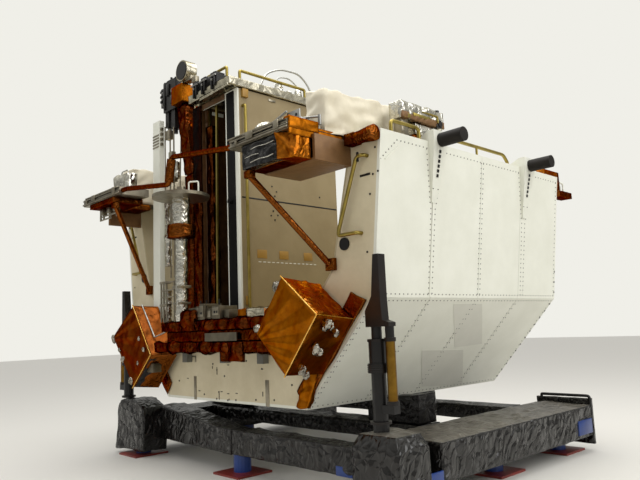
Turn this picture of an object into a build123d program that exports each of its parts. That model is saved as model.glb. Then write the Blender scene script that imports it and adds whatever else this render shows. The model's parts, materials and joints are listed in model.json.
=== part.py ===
"""A payload carrier for a space vehicle's cargo bay, loaded with its equipment, on its transport cradle.

Five U-shaped frames carry white skin panels outside and floor panels inside. A tall instrument
enclosure with a hinged lid, two forward shelves, film-wrapped boxes and fabric covers ride on them.
The cradle underneath is a ladder of wrapped beams on jack feet.
"""
import os
from math import atan2, cos, degrees, hypot, radians, sin

from build123d import *

os.makedirs("parts", exist_ok=True)

# Carrier's section: heights are above its underside, half widths from its middle
carrier_length = 2900
sill_height = 2200
sill_half_width = 2102
knee_height = 896
knee_half_width = 1945
floor_half_width = 1132
skin_thickness = 25
floor_web_depth = 472
arm_depth_at_sill = 310
inner_knee_height = 1146
inner_knee_half_width = 1520
inner_floor_half_width = 920
inner_panel_thickness = 20
frame_count = 5
frame_thickness = 50
panel_seam = 4

# How the whole stands: reaches ahead of and behind the carrier, and its height over the floor
front_reach = 640
rear_reach = 300
underside_height = 660

# Trunnions
trunnion_radius = 41.3
trunnion_cover_radius = 60
trunnion_cover_length = 225
trunnion_reach = 292
trunnion_rise = 10
trunnion_stations = (703, 2203)
keel_pin_radius = 38.1
keel_pin_length = 190

# Tall instrument enclosure
enclosure_width = 700
enclosure_depth = 1350
enclosure_height = 2450
enclosure_right = 180
enclosure_jamb_left = 40
enclosure_jamb_right = 210
jamb_thickness = 20
enclosure_front = 70
enclosure_foot_height = 690
enclosure_wall = 40
lid_thickness = 90
lid_overhang = 40
lid_gap = 6
hinge_pin_radius = 12
hinge_clearance = 0.3

# Handrails
rail_radius = 16
rail_bend = 40
bar_sides = 8
round_sides = 16

trunnion_tip = sill_half_width + trunnion_reach
trunnion_height = sill_height + trunnion_rise
front_face = front_reach - (carrier_length + front_reach + rear_reach) / 2
frame_pitch = (carrier_length - frame_thickness) / (frame_count - 1)
frame_stations = [index * frame_pitch for index in range(frame_count)]
bay_length = frame_pitch


def station(y):
    """Plane that faces forwards, at a distance behind the front frame's face."""
    return Plane(origin=(0, front_face + y, underside_height), x_dir=(1, 0, 0), z_dir=(0, -1, 0))


def level(z):
    """Plane that faces up, at a height over the carrier's underside."""
    return Plane(origin=(0, front_face, underside_height + z), x_dir=(1, 0, 0), z_dir=(0, 0, 1))


def side(x):
    """Plane that faces right, at a distance from the carrier's middle."""
    return Plane(origin=(x, front_face, underside_height), x_dir=(0, 1, 0), z_dir=(1, 0, 0))


def place(x, y, z):
    """A point in the part's frame from carrier coordinates."""
    return Vector(x, front_face + y, underside_height + z)


def inset(outline, distance):
    """Moves a right half outline inwards, mitred at its corners, its ends kept on their lines."""
    lines = []
    for (x0, z0), (x1, z1) in zip(outline[:-1], outline[1:]):
        run = hypot(x1 - x0, z1 - z0)
        step_x, step_z = (x1 - x0) / run, (z1 - z0) / run
        lines.append((x0 - step_z * distance, z0 + step_x * distance, step_x, step_z))
    moved = [(outline[0][0], lines[0][1])]
    for (ax, az, bx, bz), (cx, cz, dx, dz) in zip(lines[:-1], lines[1:]):
        along = ((cx - ax) * dz - (cz - az) * dx) / (bx * dz - bz * dx)
        moved.append((ax + bx * along, az + bz * along))
    ax, az, bx, bz = lines[-1]
    top = outline[-1][1]
    moved.append((ax + bx * (top - az) / bz, top))
    return moved


def box_between(x_range, y_range, z_range):
    """Returns a box between two places along each axis, in carrier coordinates."""
    middle = place(sum(x_range) / 2, sum(y_range) / 2, sum(z_range) / 2)
    with BuildPart(Plane(origin=middle), mode=Mode.PRIVATE) as made:
        Box(x_range[1] - x_range[0], y_range[1] - y_range[0], z_range[1] - z_range[0])
    return made.part


def rod_between(start, end, radius, sides=None):
    """Returns a round rod from one carrier point to another, or one with flat sides."""
    first, last = place(*start), place(*end)
    with BuildPart(mode=Mode.PRIVATE) as made:
        with BuildSketch(Plane(origin=first, z_dir=last - first)):
            if sides is None:
                Circle(radius)
            else:
                RegularPolygon(radius, sides)
        extrude(amount=(last - first).length)
    return made.part


def bent_tube(points, radius, bend):
    """Returns a bar along straight runs through carrier points, each corner cut off by a short run."""
    ends = [place(*point) for point in points]
    turns = [ends[0]]
    for before, corner, after in zip(ends, ends[1:], ends[2:]):
        for near in (before, after):
            cut = min(bend, (near - corner).length / 2 - 1)
            turns.append(corner + (near - corner).normalized() * cut)
    turns.append(ends[-1])
    runs = list(zip(turns, turns[1:]))
    with BuildPart(mode=Mode.PRIVATE) as made:
        for number, (start, end) in enumerate(runs):
            way = (end - start).normalized()
            early = radius * 0.4 if number > 0 else 0
            late = radius * 0.4 if number < len(runs) - 1 else 0
            with BuildSketch(Plane(origin=start - way * early, z_dir=way)):
                RegularPolygon(radius, bar_sides)
            extrude(amount=(end - start).length + early + late)
    return made.part


def save(build, name):
    """Labels a finished piece and writes it."""
    build.part.label = name
    export_step(build.part, f"parts/{name}.step")


outer_outline = [
    (0, 0),
    (floor_half_width, 0),
    (knee_half_width, knee_height),
    (sill_half_width, sill_height),
]
skin_back = inset(outer_outline, skin_thickness)
inner_outline = [
    (0, floor_web_depth),
    (inner_floor_half_width, floor_web_depth),
    (inner_knee_half_width, inner_knee_height),
    (sill_half_width - arm_depth_at_sill, sill_height),
]
lining_face = inset(inner_outline, inner_panel_thickness)


# U-shaped frames
sill_cap = 40
with BuildSketch(Plane.XY) as frame_section:
    with BuildLine():
        Polyline(*skin_back, *reversed(inner_outline), close=True)
    make_face()
    mirror(about=Plane.YZ)
with BuildSketch(Plane.XY) as above_sill:
    with Locations((0, sill_height)):
        Rectangle(2 * sill_half_width, 2 * sill_cap)

for number, y in enumerate(frame_stations, start=1):
    with BuildPart() as frame:
        with BuildSketch(station(y)):
            add(frame_section.sketch)
            add(above_sill.sketch, mode=Mode.SUBTRACT)
        extrude(amount=-frame_thickness)
    save(frame, f"frame_{number}")


def panel_row(first, last, first_back, last_back, flip):
    """Returns one panel a bay, between two corners of the section and the same corners inset."""
    with BuildPart(mode=Mode.PRIVATE) as row:
        for bay in range(frame_count - 1):
            start = frame_stations[bay] + (panel_seam / 2 if bay else 0)
            end = frame_stations[bay] + bay_length - panel_seam / 2
            if bay == frame_count - 2:
                end = carrier_length
            with BuildSketch(station(start)):
                with BuildLine():
                    corners = [first, last, last_back, first_back]
                    Polyline(*[(flip * x, z) for x, z in corners], close=True)
                make_face()
            extrude(amount=-(end - start))
    return row.part


# Outer skin: side, slope and bottom panels
with BuildPart() as side_panels:
    for flip in (1, -1):
        add(panel_row(outer_outline[2], outer_outline[3], skin_back[2], skin_back[3], flip))
save(side_panels, "side_panels")
with BuildPart() as slope_panels:
    for flip in (1, -1):
        add(panel_row(outer_outline[1], outer_outline[2], skin_back[1], skin_back[2], flip))
save(slope_panels, "slope_panels")

mirrored_corner = (-floor_half_width, 0)
mirrored_back = (-skin_back[1][0], skin_back[1][1])
with BuildPart() as bottom_panels:
    add(panel_row(mirrored_corner, outer_outline[1], mirrored_back, skin_back[1], 1))
save(bottom_panels, "bottom_panels")


# Inner panels between the frames' inner edges
with BuildPart() as lining_side:
    for flip in (1, -1):
        add(panel_row(inner_outline[2], inner_outline[3], lining_face[2], lining_face[3], flip))
save(lining_side, "inner_side_panels")
with BuildPart() as lining_slope:
    for flip in (1, -1):
        add(panel_row(inner_outline[1], inner_outline[2], lining_face[1], lining_face[2], flip))
save(lining_slope, "inner_slope_panels")
inner_corner = (-inner_floor_half_width, floor_web_depth)
inner_back = (-lining_face[1][0], lining_face[1][1])
with BuildPart() as floor_panels:
    add(panel_row(inner_corner, inner_outline[1], inner_back, lining_face[1], 1))
save(floor_panels, "floor_panels")


# Sill caps over the arms, between skin and inner panels
def half_width_at(corner, outline, z):
    """Half width of an outline's last run at a height."""
    (x0, z0), (x1, z1) = outline[corner - 1], outline[corner]
    return x0 + (x1 - x0) * (z - z0) / (z1 - z0)


sill_bottom = sill_height - sill_cap
with BuildPart() as sills:
    for flip in (1, -1):
        with BuildSketch(station(0)):
            with BuildLine():
                corners = [
                    (half_width_at(3, inner_outline, sill_bottom), sill_bottom),
                    (half_width_at(3, skin_back, sill_bottom), sill_bottom),
                    skin_back[3],
                    inner_outline[3],
                ]
                Polyline(*[(flip * x, z) for x, z in corners], close=True)
            make_face()
        extrude(amount=-carrier_length)
save(sills, "sills")


# Trunnions: fairings down the walls, housings on the sills, shafts and their protective covers
fairing_top = sill_height + 90
fairing_foot = sill_height - 510
fairing_reach = 63
housing_reach = 200
cover_wall = trunnion_cover_radius - trunnion_radius
cover_start = sill_half_width + fairing_reach
wall_at_foot = half_width_at(3, outer_outline, fairing_foot)
fairing_half = 100
fairing_foot_half = 30
with BuildPart() as fairings:
    for flip in (1, -1):
        for y in trunnion_stations:
            with BuildPart(mode=Mode.PRIVATE) as fairing:
                with BuildSketch(station(y - fairing_half)):
                    with BuildLine():
                        corners = [(wall_at_foot, fairing_foot), (wall_at_foot + 10, fairing_foot),
                                   (cover_start, sill_height), (cover_start, fairing_top),
                                   (sill_half_width, fairing_top), (sill_half_width, sill_height)]
                        Polyline(*[(flip * x, z) for x, z in corners], close=True)
                    make_face()
                extrude(amount=-2 * fairing_half)
                with BuildSketch(side(0)):
                    with BuildLine():
                        Polyline((y - fairing_foot_half, fairing_foot), (y + fairing_foot_half, fairing_foot),
                                 (y + fairing_half, sill_height), (y + fairing_half, fairing_top),
                                 (y - fairing_half, fairing_top), (y - fairing_half, sill_height), close=True)
                    make_face()
                extrude(amount=flip * 2 * sill_half_width, mode=Mode.INTERSECT)
            add(fairing.part)
save(fairings, "trunnion_fairings")
housing_end = sill_half_width - housing_reach
with BuildPart() as housings:
    for flip in (1, -1):
        for y in trunnion_stations:
            with BuildPart(mode=Mode.PRIVATE) as housing:
                with BuildSketch(station(y - fairing_half)):
                    with BuildLine():
                        corners = [(housing_end, sill_height), (sill_half_width, sill_height),
                                   (sill_half_width, fairing_top), (housing_end, sill_height + 22)]
                        Polyline(*[(flip * x, z) for x, z in corners], close=True)
                    make_face()
                extrude(amount=-2 * fairing_half)
                with BuildSketch(level(sill_height)):
                    with BuildLine():
                        corners = [(sill_half_width, -fairing_half), (sill_half_width, fairing_half),
                                   (housing_end, fairing_half * 0.6), (housing_end, -fairing_half * 0.6)]
                        Polyline(*[(flip * x, y + along) for x, along in corners], close=True)
                    make_face()
                extrude(amount=fairing_top - sill_height, mode=Mode.INTERSECT)
            add(housing.part)
save(housings, "trunnion_housings")
with BuildPart() as trunnions:
    for flip in (1, -1):
        for y in trunnion_stations:
            start = (flip * cover_start, y, trunnion_height)
            end = (flip * (trunnion_tip - cover_wall), y, trunnion_height)
            add(rod_between(start, end, trunnion_radius))
save(trunnions, "trunnions")
with BuildPart() as covers:
    for flip in (1, -1):
        for y in trunnion_stations:
            start = place(flip * cover_start, y, trunnion_height)
            base = Plane(start, (0, 1, 0), (flip, 0, 0))
            with BuildSketch(base):
                Circle(trunnion_cover_radius)
            extrude(amount=trunnion_tip - cover_start)
            with BuildSketch(base):
                Circle(trunnion_radius)
            extrude(amount=trunnion_tip - cover_wall - cover_start, mode=Mode.SUBTRACT)
save(covers, "trunnion_covers")
with BuildPart() as keel_pin:
    with BuildSketch(level(0)):
        with Locations((0, carrier_length / 2)):
            Circle(keel_pin_radius)
    extrude(amount=-keel_pin_length)
    with BuildSketch(level(0)):
        with Locations((0, carrier_length / 2)):
            Circle(keel_pin_radius * 2.4)
    extrude(amount=-22)
save(keel_pin, "keel_pin")


# Handrails on the sills and on the front arms
rail_x = sill_half_width - 45
rail_height = sill_height + 97
with BuildPart() as sill_rails:
    for flip in (1, -1):
        x = flip * rail_x
        add(bent_tube([(x, 850, sill_height), (x, 850, rail_height), (x, 1883, rail_height),
                       (x, 1950, sill_height + 30), (x, 1950, sill_height)], rail_radius, rail_bend))
        add(rod_between((x, 1410, sill_height), (x, 1410, rail_height), rail_radius * 0.7))
        add(bent_tube([(x, 180, sill_height), (x, 180, sill_height + 110), (x, 540, sill_height + 110),
                       (x, 540, sill_height)], rail_radius, rail_bend))
save(sill_rails, "sill_handrails")
arm_rail_points = [
    # distance inwards from the sill's edge, y, drop below the sill
    (152, 0, 190),
    (152, -60, 190),
    (217, -60, 195),
    (447, -60, 750),
    (252, -60, 795),
    (252, 0, 795),
]
with BuildPart() as arm_rails:
    for flip in (1, -1):
        corners = [(flip * (sill_half_width - inward), y, sill_height - drop) for inward, y, drop in arm_rail_points]
        add(bent_tube(corners, rail_radius, 25))
save(arm_rails, "arm_handrails")
with BuildPart() as port_covers:
    for flip in (1, -1):
        with BuildSketch(station(0)):
            with Locations((flip * (sill_half_width - 442), sill_height - 858)):
                Circle(52)
        extrude(amount=14)
save(port_covers, "port_covers")


def inward(near, far, flip=1):
    """Span along X between two distances inwards from the sill's edge, on the right or mirrored."""
    return sorted((flip * (sill_half_width - near), flip * (sill_half_width - far)))


cap_height = sill_height - 47
with BuildPart() as arm_caps:
    for flip in (1, -1):
        add(box_between(inward(312, 202, flip), (-95, 0), (sill_height - 90, sill_height + 35)))
        start, end = inward(207, -8)
        add(rod_between((flip * start, -68, cap_height), (flip * end, -68, cap_height), 67))
save(arm_caps, "arm_caps")
cover_bottom = sill_height + 30
post_top = sill_height + 200
with BuildPart() as sill_fittings:
    for flip in (1, -1):
        add(box_between(inward(592, 252, flip), (60, 600), (sill_height, cover_bottom)))
    for y0, y1 in ((430, 520), (860, 950)):
        add(box_between(inward(252, 102), (y0 - 30, y1 + 30), (sill_height, cover_bottom)))
        add(box_between(inward(222, 132), (y0, y1), (cover_bottom, post_top)))
    add(box_between(inward(247, 107), (400, 1010), (post_top, post_top + 160)))
save(sill_fittings, "sill_fittings")
bracket_back = carrier_length + 60
bracket_top = sill_height + 62
with BuildPart() as rear_bracket:
    add(box_between(inward(102, 7), (carrier_length - 280, bracket_back), (sill_height, bracket_top)))
    add(box_between(inward(102, 7), (carrier_length, bracket_back), (sill_height - 210, bracket_top)))
    add(box_between(inward(122, -8), (carrier_length, carrier_length + rear_reach),
                    (sill_height - 210, sill_height - 140)))
save(rear_bracket, "rear_bracket")


# Tall instrument enclosure, open at its front
enclosure_left = enclosure_right - enclosure_width
enclosure_back = enclosure_front + enclosure_depth
enclosure_top = enclosure_foot_height + enclosure_height
opening_left = enclosure_left + enclosure_jamb_left
opening_right = enclosure_right - enclosure_jamb_right
with BuildPart() as enclosure:
    add(box_between((enclosure_left, enclosure_right), (enclosure_front, enclosure_back),
                    (enclosure_foot_height, enclosure_top)))
    add(box_between((enclosure_left + enclosure_wall, enclosure_right - enclosure_wall),
                    (enclosure_front - 1, enclosure_back - enclosure_wall),
                    (enclosure_foot_height + enclosure_wall, enclosure_top + 1)), mode=Mode.SUBTRACT)
save(enclosure, "instrument_enclosure")
with BuildPart() as front_frame:
    add(box_between((enclosure_left, enclosure_right), (enclosure_front - jamb_thickness, enclosure_front),
                    (enclosure_foot_height, enclosure_top)))
    add(box_between((opening_left, opening_right), (enclosure_front - jamb_thickness - 1, enclosure_front + 1),
                    (enclosure_foot_height + 60, enclosure_top - 60)), mode=Mode.SUBTRACT)
save(front_frame, "enclosure_front_frame")
seal_width = 125
seal_front = enclosure_front - jamb_thickness
with BuildPart() as seals:
    first = opening_right + 30
    add(box_between((first, first + seal_width), (seal_front - 10, seal_front),
                    (enclosure_foot_height + 20, enclosure_top - 20)))
    knob_x = first + seal_width / 2
    knob_z = enclosure_foot_height + 1285
    add(rod_between((knob_x, seal_front - 45, knob_z), (knob_x, seal_front, knob_z), 26))
save(seals, "enclosure_seals")
with BuildPart() as rails:
    x = enclosure_right + 45
    y = enclosure_front + 45
    foot, top = enclosure_foot_height + 140, enclosure_top - 180
    add(bent_tube([(enclosure_right, y, top), (x, y, top), (x, y, foot), (enclosure_right, y, foot)],
                  rail_radius, rail_bend * 0.6))
    inner_left = enclosure_left + enclosure_wall
    for y in (enclosure_front + 80, enclosure_back - 300):
        add(box_between((inner_left, inner_left + 24), (y - 12, y + 12),
                        (enclosure_foot_height + enclosure_wall, enclosure_top - 20)))
save(rails, "enclosure_rails")
stand_top = enclosure_foot_height
stand_bottom = floor_web_depth + inner_panel_thickness
with BuildPart() as enclosure_stand:
    for x in (enclosure_left + 80, enclosure_right - 80):
        add(box_between((x - 50, x + 50), (enclosure_front, enclosure_back), (stand_bottom, stand_top)))
save(enclosure_stand, "enclosure_stand")

# Lid, hinged along its back edge, with its handrail
lid_bottom = enclosure_top + lid_gap
lid_top = lid_bottom + lid_thickness
lid_front = enclosure_front - 140
lid_back = enclosure_back + lid_overhang
hinge_y = lid_back + 30
hinge_z = lid_bottom + 25
cheek_radius = 24
lug_width = 60
lug_places = (enclosure_left + 150, enclosure_right - 150)
with BuildPart() as lid:
    add(box_between((enclosure_left - 30, enclosure_right + 30), (lid_front, lid_back), (lid_bottom, lid_top)))
    for x in lug_places:
        with BuildSketch(side(x - lug_width / 2)):
            with Locations((hinge_y, hinge_z)):
                Circle(28)
            with Locations((hinge_y - 20, hinge_z + 10)):
                Rectangle(40, 36)
            with Locations((hinge_y, hinge_z)):
                Circle(hinge_pin_radius + hinge_clearance, mode=Mode.SUBTRACT)
        extrude(amount=lug_width)
save(lid, "enclosure_lid")
with BuildPart() as hinge:
    for x in lug_places:
        reach = lug_width / 2 + 20
        add(rod_between((x - reach, hinge_y, hinge_z), (x + reach, hinge_y, hinge_z), hinge_pin_radius))
        for edge in (x - reach, x + reach - 15):
            with BuildSketch(side(edge)):
                with Locations((hinge_y, hinge_z)):
                    Circle(cheek_radius)
                with BuildLine():
                    Polyline((enclosure_back, hinge_z - 150), (hinge_y + cheek_radius, hinge_z - 110),
                             (hinge_y + cheek_radius, hinge_z), (hinge_y - cheek_radius, hinge_z),
                             (hinge_y - cheek_radius, lid_bottom - lid_gap),
                             (enclosure_back, lid_bottom - lid_gap), close=True)
                make_face()
            extrude(amount=15)
save(hinge, "lid_hinge")
with BuildPart() as lid_rail:
    x = enclosure_right - 30
    add(bent_tube([(x, 110, lid_top), (x, 110, lid_top + 110), (x, 1010, lid_top + 110), (x, 1010, lid_top)],
                  rail_radius, rail_bend))
    left, right, top = enclosure_left + 100, enclosure_right - 240, lid_top + 220
    add(bent_tube([(left, 100, lid_top), (left, 100, top), (right, 100, top), (right, 100, lid_top)],
                  rail_radius, rail_bend))
save(lid_rail, "lid_handrails")
with BuildPart() as lid_clamps:
    for inset_x in (120, 280, 460):
        x = enclosure_left + inset_x
        add(box_between((x - 55, x + 55), (lid_front, lid_front + 130), (lid_top, lid_top + 90)))
save(lid_clamps, "lid_clamps")


# Post with its head, control boxes and signal drum, standing on the floor panels
post_back = 150
head_bottom = 3240
lean_start = 2400
with BuildPart() as post:
    with BuildSketch(station(5)):
        with BuildLine():
            Polyline((-770, stand_bottom), (-610, stand_bottom), (-610, lean_start), (-750, head_bottom),
                     (-930, head_bottom), (-770, lean_start), close=True)
        make_face()
    extrude(amount=5 - post_back)
save(post, "film_post")
head_top = head_bottom + 210
with BuildPart() as post_head:
    add(box_between((-930, -700), (-60, 240), (head_bottom, head_top)))
save(post_head, "post_head")
with BuildPart() as control_boxes:
    add(box_between((-1200, -930), (0, 110), (head_bottom, head_bottom + 360)))
    add(box_between((-1290, -1200), (20, 90), (head_bottom + 90, head_bottom + 320)))
    for x0, x1, drop in ((-1190, -1120, 180), (-1060, -980, 230)):
        add(box_between((x0, x1), (20, 90), (head_bottom - drop, head_bottom)))
save(control_boxes, "control_boxes")
with BuildPart() as drum:
    with BuildSketch(station(-60)):
        with Locations((-701, head_top + 134)):
            Circle(118)
    extrude(amount=-130)
    add(box_between((-745, -705), (-40, 60), (head_top, head_top + 50)))
save(drum, "signal_drum")
plate_outline = [
    (knee_half_width - 75, knee_height - 16),
    (knee_half_width - 226, knee_height + 55),
    (floor_half_width - 90, 155),
    (floor_half_width - 7, 24),
]
column_outside = sill_half_width - 762
column_width = 150
column_foot = half_width_at(2, [(z, x) for x, z in plate_outline[::-1]], column_outside) + 95
with BuildPart() as column:
    add(box_between((-column_outside, column_width - column_outside), (-60, 0), (column_foot, enclosure_top)))
save(column, "white_column")


# Forward shelves with their latch decks, struts and the tube that links them
shelf_front = -front_reach
tray_back = -400
tray_bottom = sill_height - 240
tray_top = sill_height - 30
left_tray_bottom = tray_top - 60
tray_inner = 1150
tray_outer = sill_half_width - arm_depth_at_sill - 47
deck_inner = 1000
deck_top = tray_top + 80
bracket_profile = [(0, tray_bottom), (0, tray_top), (tray_back, tray_top), (tray_back, tray_bottom)]
with BuildPart() as shelves:
    add(box_between((tray_inner, tray_outer - 5), (shelf_front, tray_back), (tray_bottom, tray_top)))
    add(box_between((tray_inner, tray_outer), (tray_back, -2), (tray_bottom, tray_bottom + 20)))
    add(box_between((tray_outer - 345, tray_outer - 45), (tray_back, -64), (tray_bottom + 20, tray_top)))
    add(box_between((-tray_outer, -tray_inner), (shelf_front, -290), (left_tray_bottom, tray_top)))
    add(box_between((45 - tray_outer, 345 - tray_outer), (-290, -64), (left_tray_bottom, tray_top)))
    for flip in (1, -1):
        with BuildSketch(side(min(flip * tray_outer, flip * (tray_outer + 30)))):
            with BuildLine():
                Polyline(*bracket_profile, close=True)
            make_face()
        extrude(amount=30)
save(shelves, "shelves")
with BuildPart() as decks:
    for first, last in ((deck_inner, tray_outer - 5), (-tray_outer - 155, -deck_inner)):
        add(box_between((first, last), (shelf_front, -300), (tray_top, deck_top)))
save(decks, "latch_decks")
strut_tops = {1: tray_bottom, -1: left_tray_bottom}
strut_foot = inner_knee_height + 44
strut_radius = 26
with BuildPart() as struts:
    for flip in (1, -1):
        top = strut_tops[flip]
        add(box_between(sorted((flip * (tray_inner + 5), flip * (tray_inner + 85))), (-620, -560), (top - 60, top)))
        add(rod_between((flip * (tray_inner + 45), -590, top - 40),
                        (flip * (inner_knee_half_width - 20), -25, strut_foot), strut_radius, round_sides))
        span = sorted((flip * (inner_knee_half_width - 60), flip * (inner_knee_half_width + 40)))
        add(box_between(span, (-40, 0), (strut_foot - 50, strut_foot + 50)))
save(struts, "shelf_struts")
tube_radius = 25
with BuildPart() as link_tube:
    level_run = tray_top + 42
    add(bent_tube([(deck_inner, -600, level_run), (deck_inner - 70, -600, level_run), (0, -600, level_run + 133),
                   (-60, -600, level_run - 122), (70 - deck_inner, -600, level_run),
                   (-deck_inner, -600, level_run)], tube_radius, 45))
    add(rod_between((-5, -600, level_run + 113), (-55, -600, level_run - 102), 42, round_sides))
save(link_tube, "link_tube")


# Round platform on its wrapped stem
platform_x = -320
platform_y = -310
platform_bottom = 2030
stem_radius = 62
sleeve_length = 270
beam_left = -840
beam_right = 1080
beam_front = -340
beam_back = -64
beam_bottom = floor_web_depth + 18
beam_top = beam_bottom + 310
with BuildPart() as stem:
    with BuildSketch(Plane(place(platform_x, platform_y, beam_top))):
        Circle(stem_radius)
    extrude(amount=platform_bottom - beam_top)
    with BuildSketch(Plane(place(platform_x, platform_y, platform_bottom - sleeve_length))):
        Circle(92)
    extrude(amount=sleeve_length)
save(stem, "platform_stem")
with BuildPart() as stem_band:
    with BuildSketch(Plane(place(platform_x, platform_y, platform_bottom - sleeve_length - 130))):
        RegularPolygon(140, 24)
        Circle(stem_radius, mode=Mode.SUBTRACT)
    extrude(amount=125)
save(stem_band, "stem_band")
with BuildPart() as platform:
    with BuildSketch(Plane(place(platform_x, platform_y, platform_bottom))):
        Circle(285)
    extrude(amount=32)
save(platform, "round_platform")


# Cross beam in front of the front web, and what is fastened to it
with BuildPart() as cross_beam:
    add(box_between((beam_left, beam_right), (beam_front, beam_back), (beam_bottom, beam_top)))
save(cross_beam, "cross_beam")
with BuildPart() as beam_brackets:
    for x in (-685, 0, 590):
        add(box_between((x - 45, x + 45), (beam_back, 0), (floor_web_depth - 92, floor_web_depth + 148)))
save(beam_brackets, "beam_brackets")
with BuildPart() as beam_fittings:
    add(box_between((140, 636), (beam_front - 12, beam_front), (beam_bottom + 108, beam_bottom + 182)))
    for x, width, height in ((-150, 130, 120), (40, 150, 130), (230, 130, 100)):
        add(box_between((x - width / 2, x + width / 2), (beam_front + 40, beam_back - 40), (beam_top, beam_top + height)))
save(beam_fittings, "beam_fittings")


# Film-wrapped boxes on the lower slopes: their fronts stand further out than their backs
right_plate_thickness = 20
left_plate_thickness = 70
wrap_boxes = [
    # front corners from the top clockwise, front y, plate behind it, sideways and upwards shift, cut beside the beam
    ([(knee_half_width - 431, 1081), (knee_half_width - 48, 774), (knee_half_width - 421, 329),
      (knee_half_width - 765, 652)], -560, right_plate_thickness, (-156, -34), (0, beam_right + 5)),
    ([(580 - knee_half_width, 1014), (980 - knee_half_width, 469), (585 - knee_half_width, 115),
      (80 - knee_half_width, 672)], -300, left_plate_thickness, (150, -20), (beam_left - 5, 0)),
]
with BuildPart() as film_boxes:
    for corners, front_y, thickness, (shift_x, shift_z), cut_x in wrap_boxes:
        shift = (shift_x, -front_y - thickness, shift_z)
        with BuildPart(mode=Mode.PRIVATE) as wrap_box:
            with BuildSketch(station(front_y)):
                with BuildLine():
                    Polyline(*corners, close=True)
                make_face()
            extrude(amount=Vector(*shift).length, dir=shift)
            add(box_between(cut_x, (front_y, 0), (0, 1200)), mode=Mode.SUBTRACT)
        add(wrap_box.part)
save(film_boxes, "film_boxes")
with BuildPart() as box_plates:
    for flip, thickness in ((1, right_plate_thickness), (-1, left_plate_thickness)):
        with BuildSketch(station(0)):
            with BuildLine():
                Polyline(*[(flip * x, z) for x, z in plate_outline], close=True)
            make_face()
        extrude(amount=thickness)
save(box_plates, "film_box_plates")


# Fabric covers over the equipment beside each arm
with BuildPart() as fabric_covers:
    for flip in (1, -1):
        add(box_between(inward(602, 357, flip), (-250, 670), (cover_bottom, cover_bottom + 410)))
save(fabric_covers, "fabric_covers")


# Cradle: side beams, piers, front beam with its oblique brace, cross beams, saddles, feet and plates
beam_top_level = -200
cross_bottom = -350
side_bottom = -510
front_top = -240
front_bottom = -480
front_span = (-28, 180)
brace_top = -110
pier_bottom = -600
right_beam = (knee_half_width - 325, knee_half_width + 295)
left_beam = (-knee_half_width - 65, 445 - knee_half_width)
right_beam_front = 345
left_beam_front = 145
right_pier = ((knee_half_width - 145, knee_half_width + 317), (-185, 180), -100)
left_pier = ((left_beam[0] - 60, 503 - knee_half_width), (-140, 145), -45)
cradle_rear = 2900
with BuildPart() as side_beams:
    add(box_between(right_beam, (right_beam_front, cradle_rear), (side_bottom, beam_top_level)))
    link = (right_beam[0] + 80, right_beam[1] - 140)
    add(box_between(link, (right_pier[1][1], right_beam_front), (front_bottom, front_top)))
    add(box_between(left_beam, (left_beam_front, cradle_rear), (side_bottom, beam_top_level)))
save(side_beams, "cradle_side_beams")
with BuildPart() as piers:
    for x_range, y_range, top in (right_pier, left_pier):
        add(box_between(x_range, y_range, (pier_bottom, top)))
save(piers, "cradle_piers")
brace_foot = -78
with BuildPart() as front_beam:
    add(box_between((brace_foot + 138, right_pier[0][0]), front_span, (front_bottom, front_top)))
    with BuildPart(mode=Mode.PRIVATE) as brace:
        with BuildSketch(level(front_bottom)):
            with BuildLine():
                Polyline((brace_foot + 138, front_span[0]), (brace_foot + 138, front_span[1]),
                         (left_pier[0][1], 390), (left_pier[0][1], 80), (brace_foot, front_span[0]), close=True)
            make_face()
        extrude(amount=brace_top - front_bottom)
        with BuildSketch(station(-100)):
            with BuildLine():
                Polyline((brace_foot + 138, front_bottom), (brace_foot + 138, front_top), (brace_foot, front_top),
                         (left_pier[0][1], brace_top), (left_pier[0][1], front_bottom), close=True)
            make_face()
        extrude(amount=-600, mode=Mode.INTERSECT)
    add(brace.part)
save(front_beam, "cradle_front_beam")
with BuildPart() as cross_beams:
    for y0, y1 in ((860, 1180), (2300, 2600)):
        add(box_between((left_beam[1], right_beam[0]), (y0, y1), (cross_bottom, beam_top_level)))
save(cross_beams, "cradle_cross_beams")


def slope_x(z):
    """Half width of the lower slope's outside at a height."""
    return floor_half_width + (knee_half_width - floor_half_width) * z / knee_height


saddle_height = 70
with BuildPart() as saddles:
    for flip in (1, -1):
        with BuildSketch(station(880)):
            with BuildLine():
                outside = right_beam[0] - 5
                corners = [(1000, beam_top_level), (outside, beam_top_level), (outside, saddle_height),
                           (slope_x(saddle_height), saddle_height), (floor_half_width, 0), (1000, 0)]
                Polyline(*[(flip * x, z) for x, z in corners], close=True)
            make_face()
        extrude(amount=-260)
        add(box_between(sorted((flip * 280, flip * 540)), (2340, 2560), (beam_top_level, 0)))
save(saddles, "cradle_saddles")
with BuildPart() as end_brackets:
    for x_range in ((right_beam[0] + 20, right_beam[1]), left_beam):
        add(box_between(x_range, (cradle_rear, cradle_rear + 40), (-595, -140)))
save(end_brackets, "cradle_end_brackets")
plate_top = -underside_height + 20
right_feet = sum(right_beam) / 2
left_feet = sum(left_beam) / 2
foot_places = [
    # x, y, height of what it carries
    (right_feet + 80, 0, pier_bottom),
    (right_feet, 1500, side_bottom),
    (right_feet, 2700, side_bottom),
    (80, 90, front_bottom),
    (left_feet + 65, 0, pier_bottom),
    (left_feet + 35, 1500, side_bottom),
    (left_feet + 35, 2700, side_bottom),
]
foot_radius = 85
plate_width = 400
with BuildPart() as feet:
    for x, y, top in foot_places:
        add(rod_between((x, y, plate_top), (x, y, top), foot_radius, round_sides))
save(feet, "cradle_feet")
with BuildPart() as floor_plates:
    for x, y, top in foot_places:
        half = plate_width / 2
        add(box_between((x - half, x + half), (y - half, y + half), (-underside_height, plate_top)))
save(floor_plates, "floor_plates")

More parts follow.
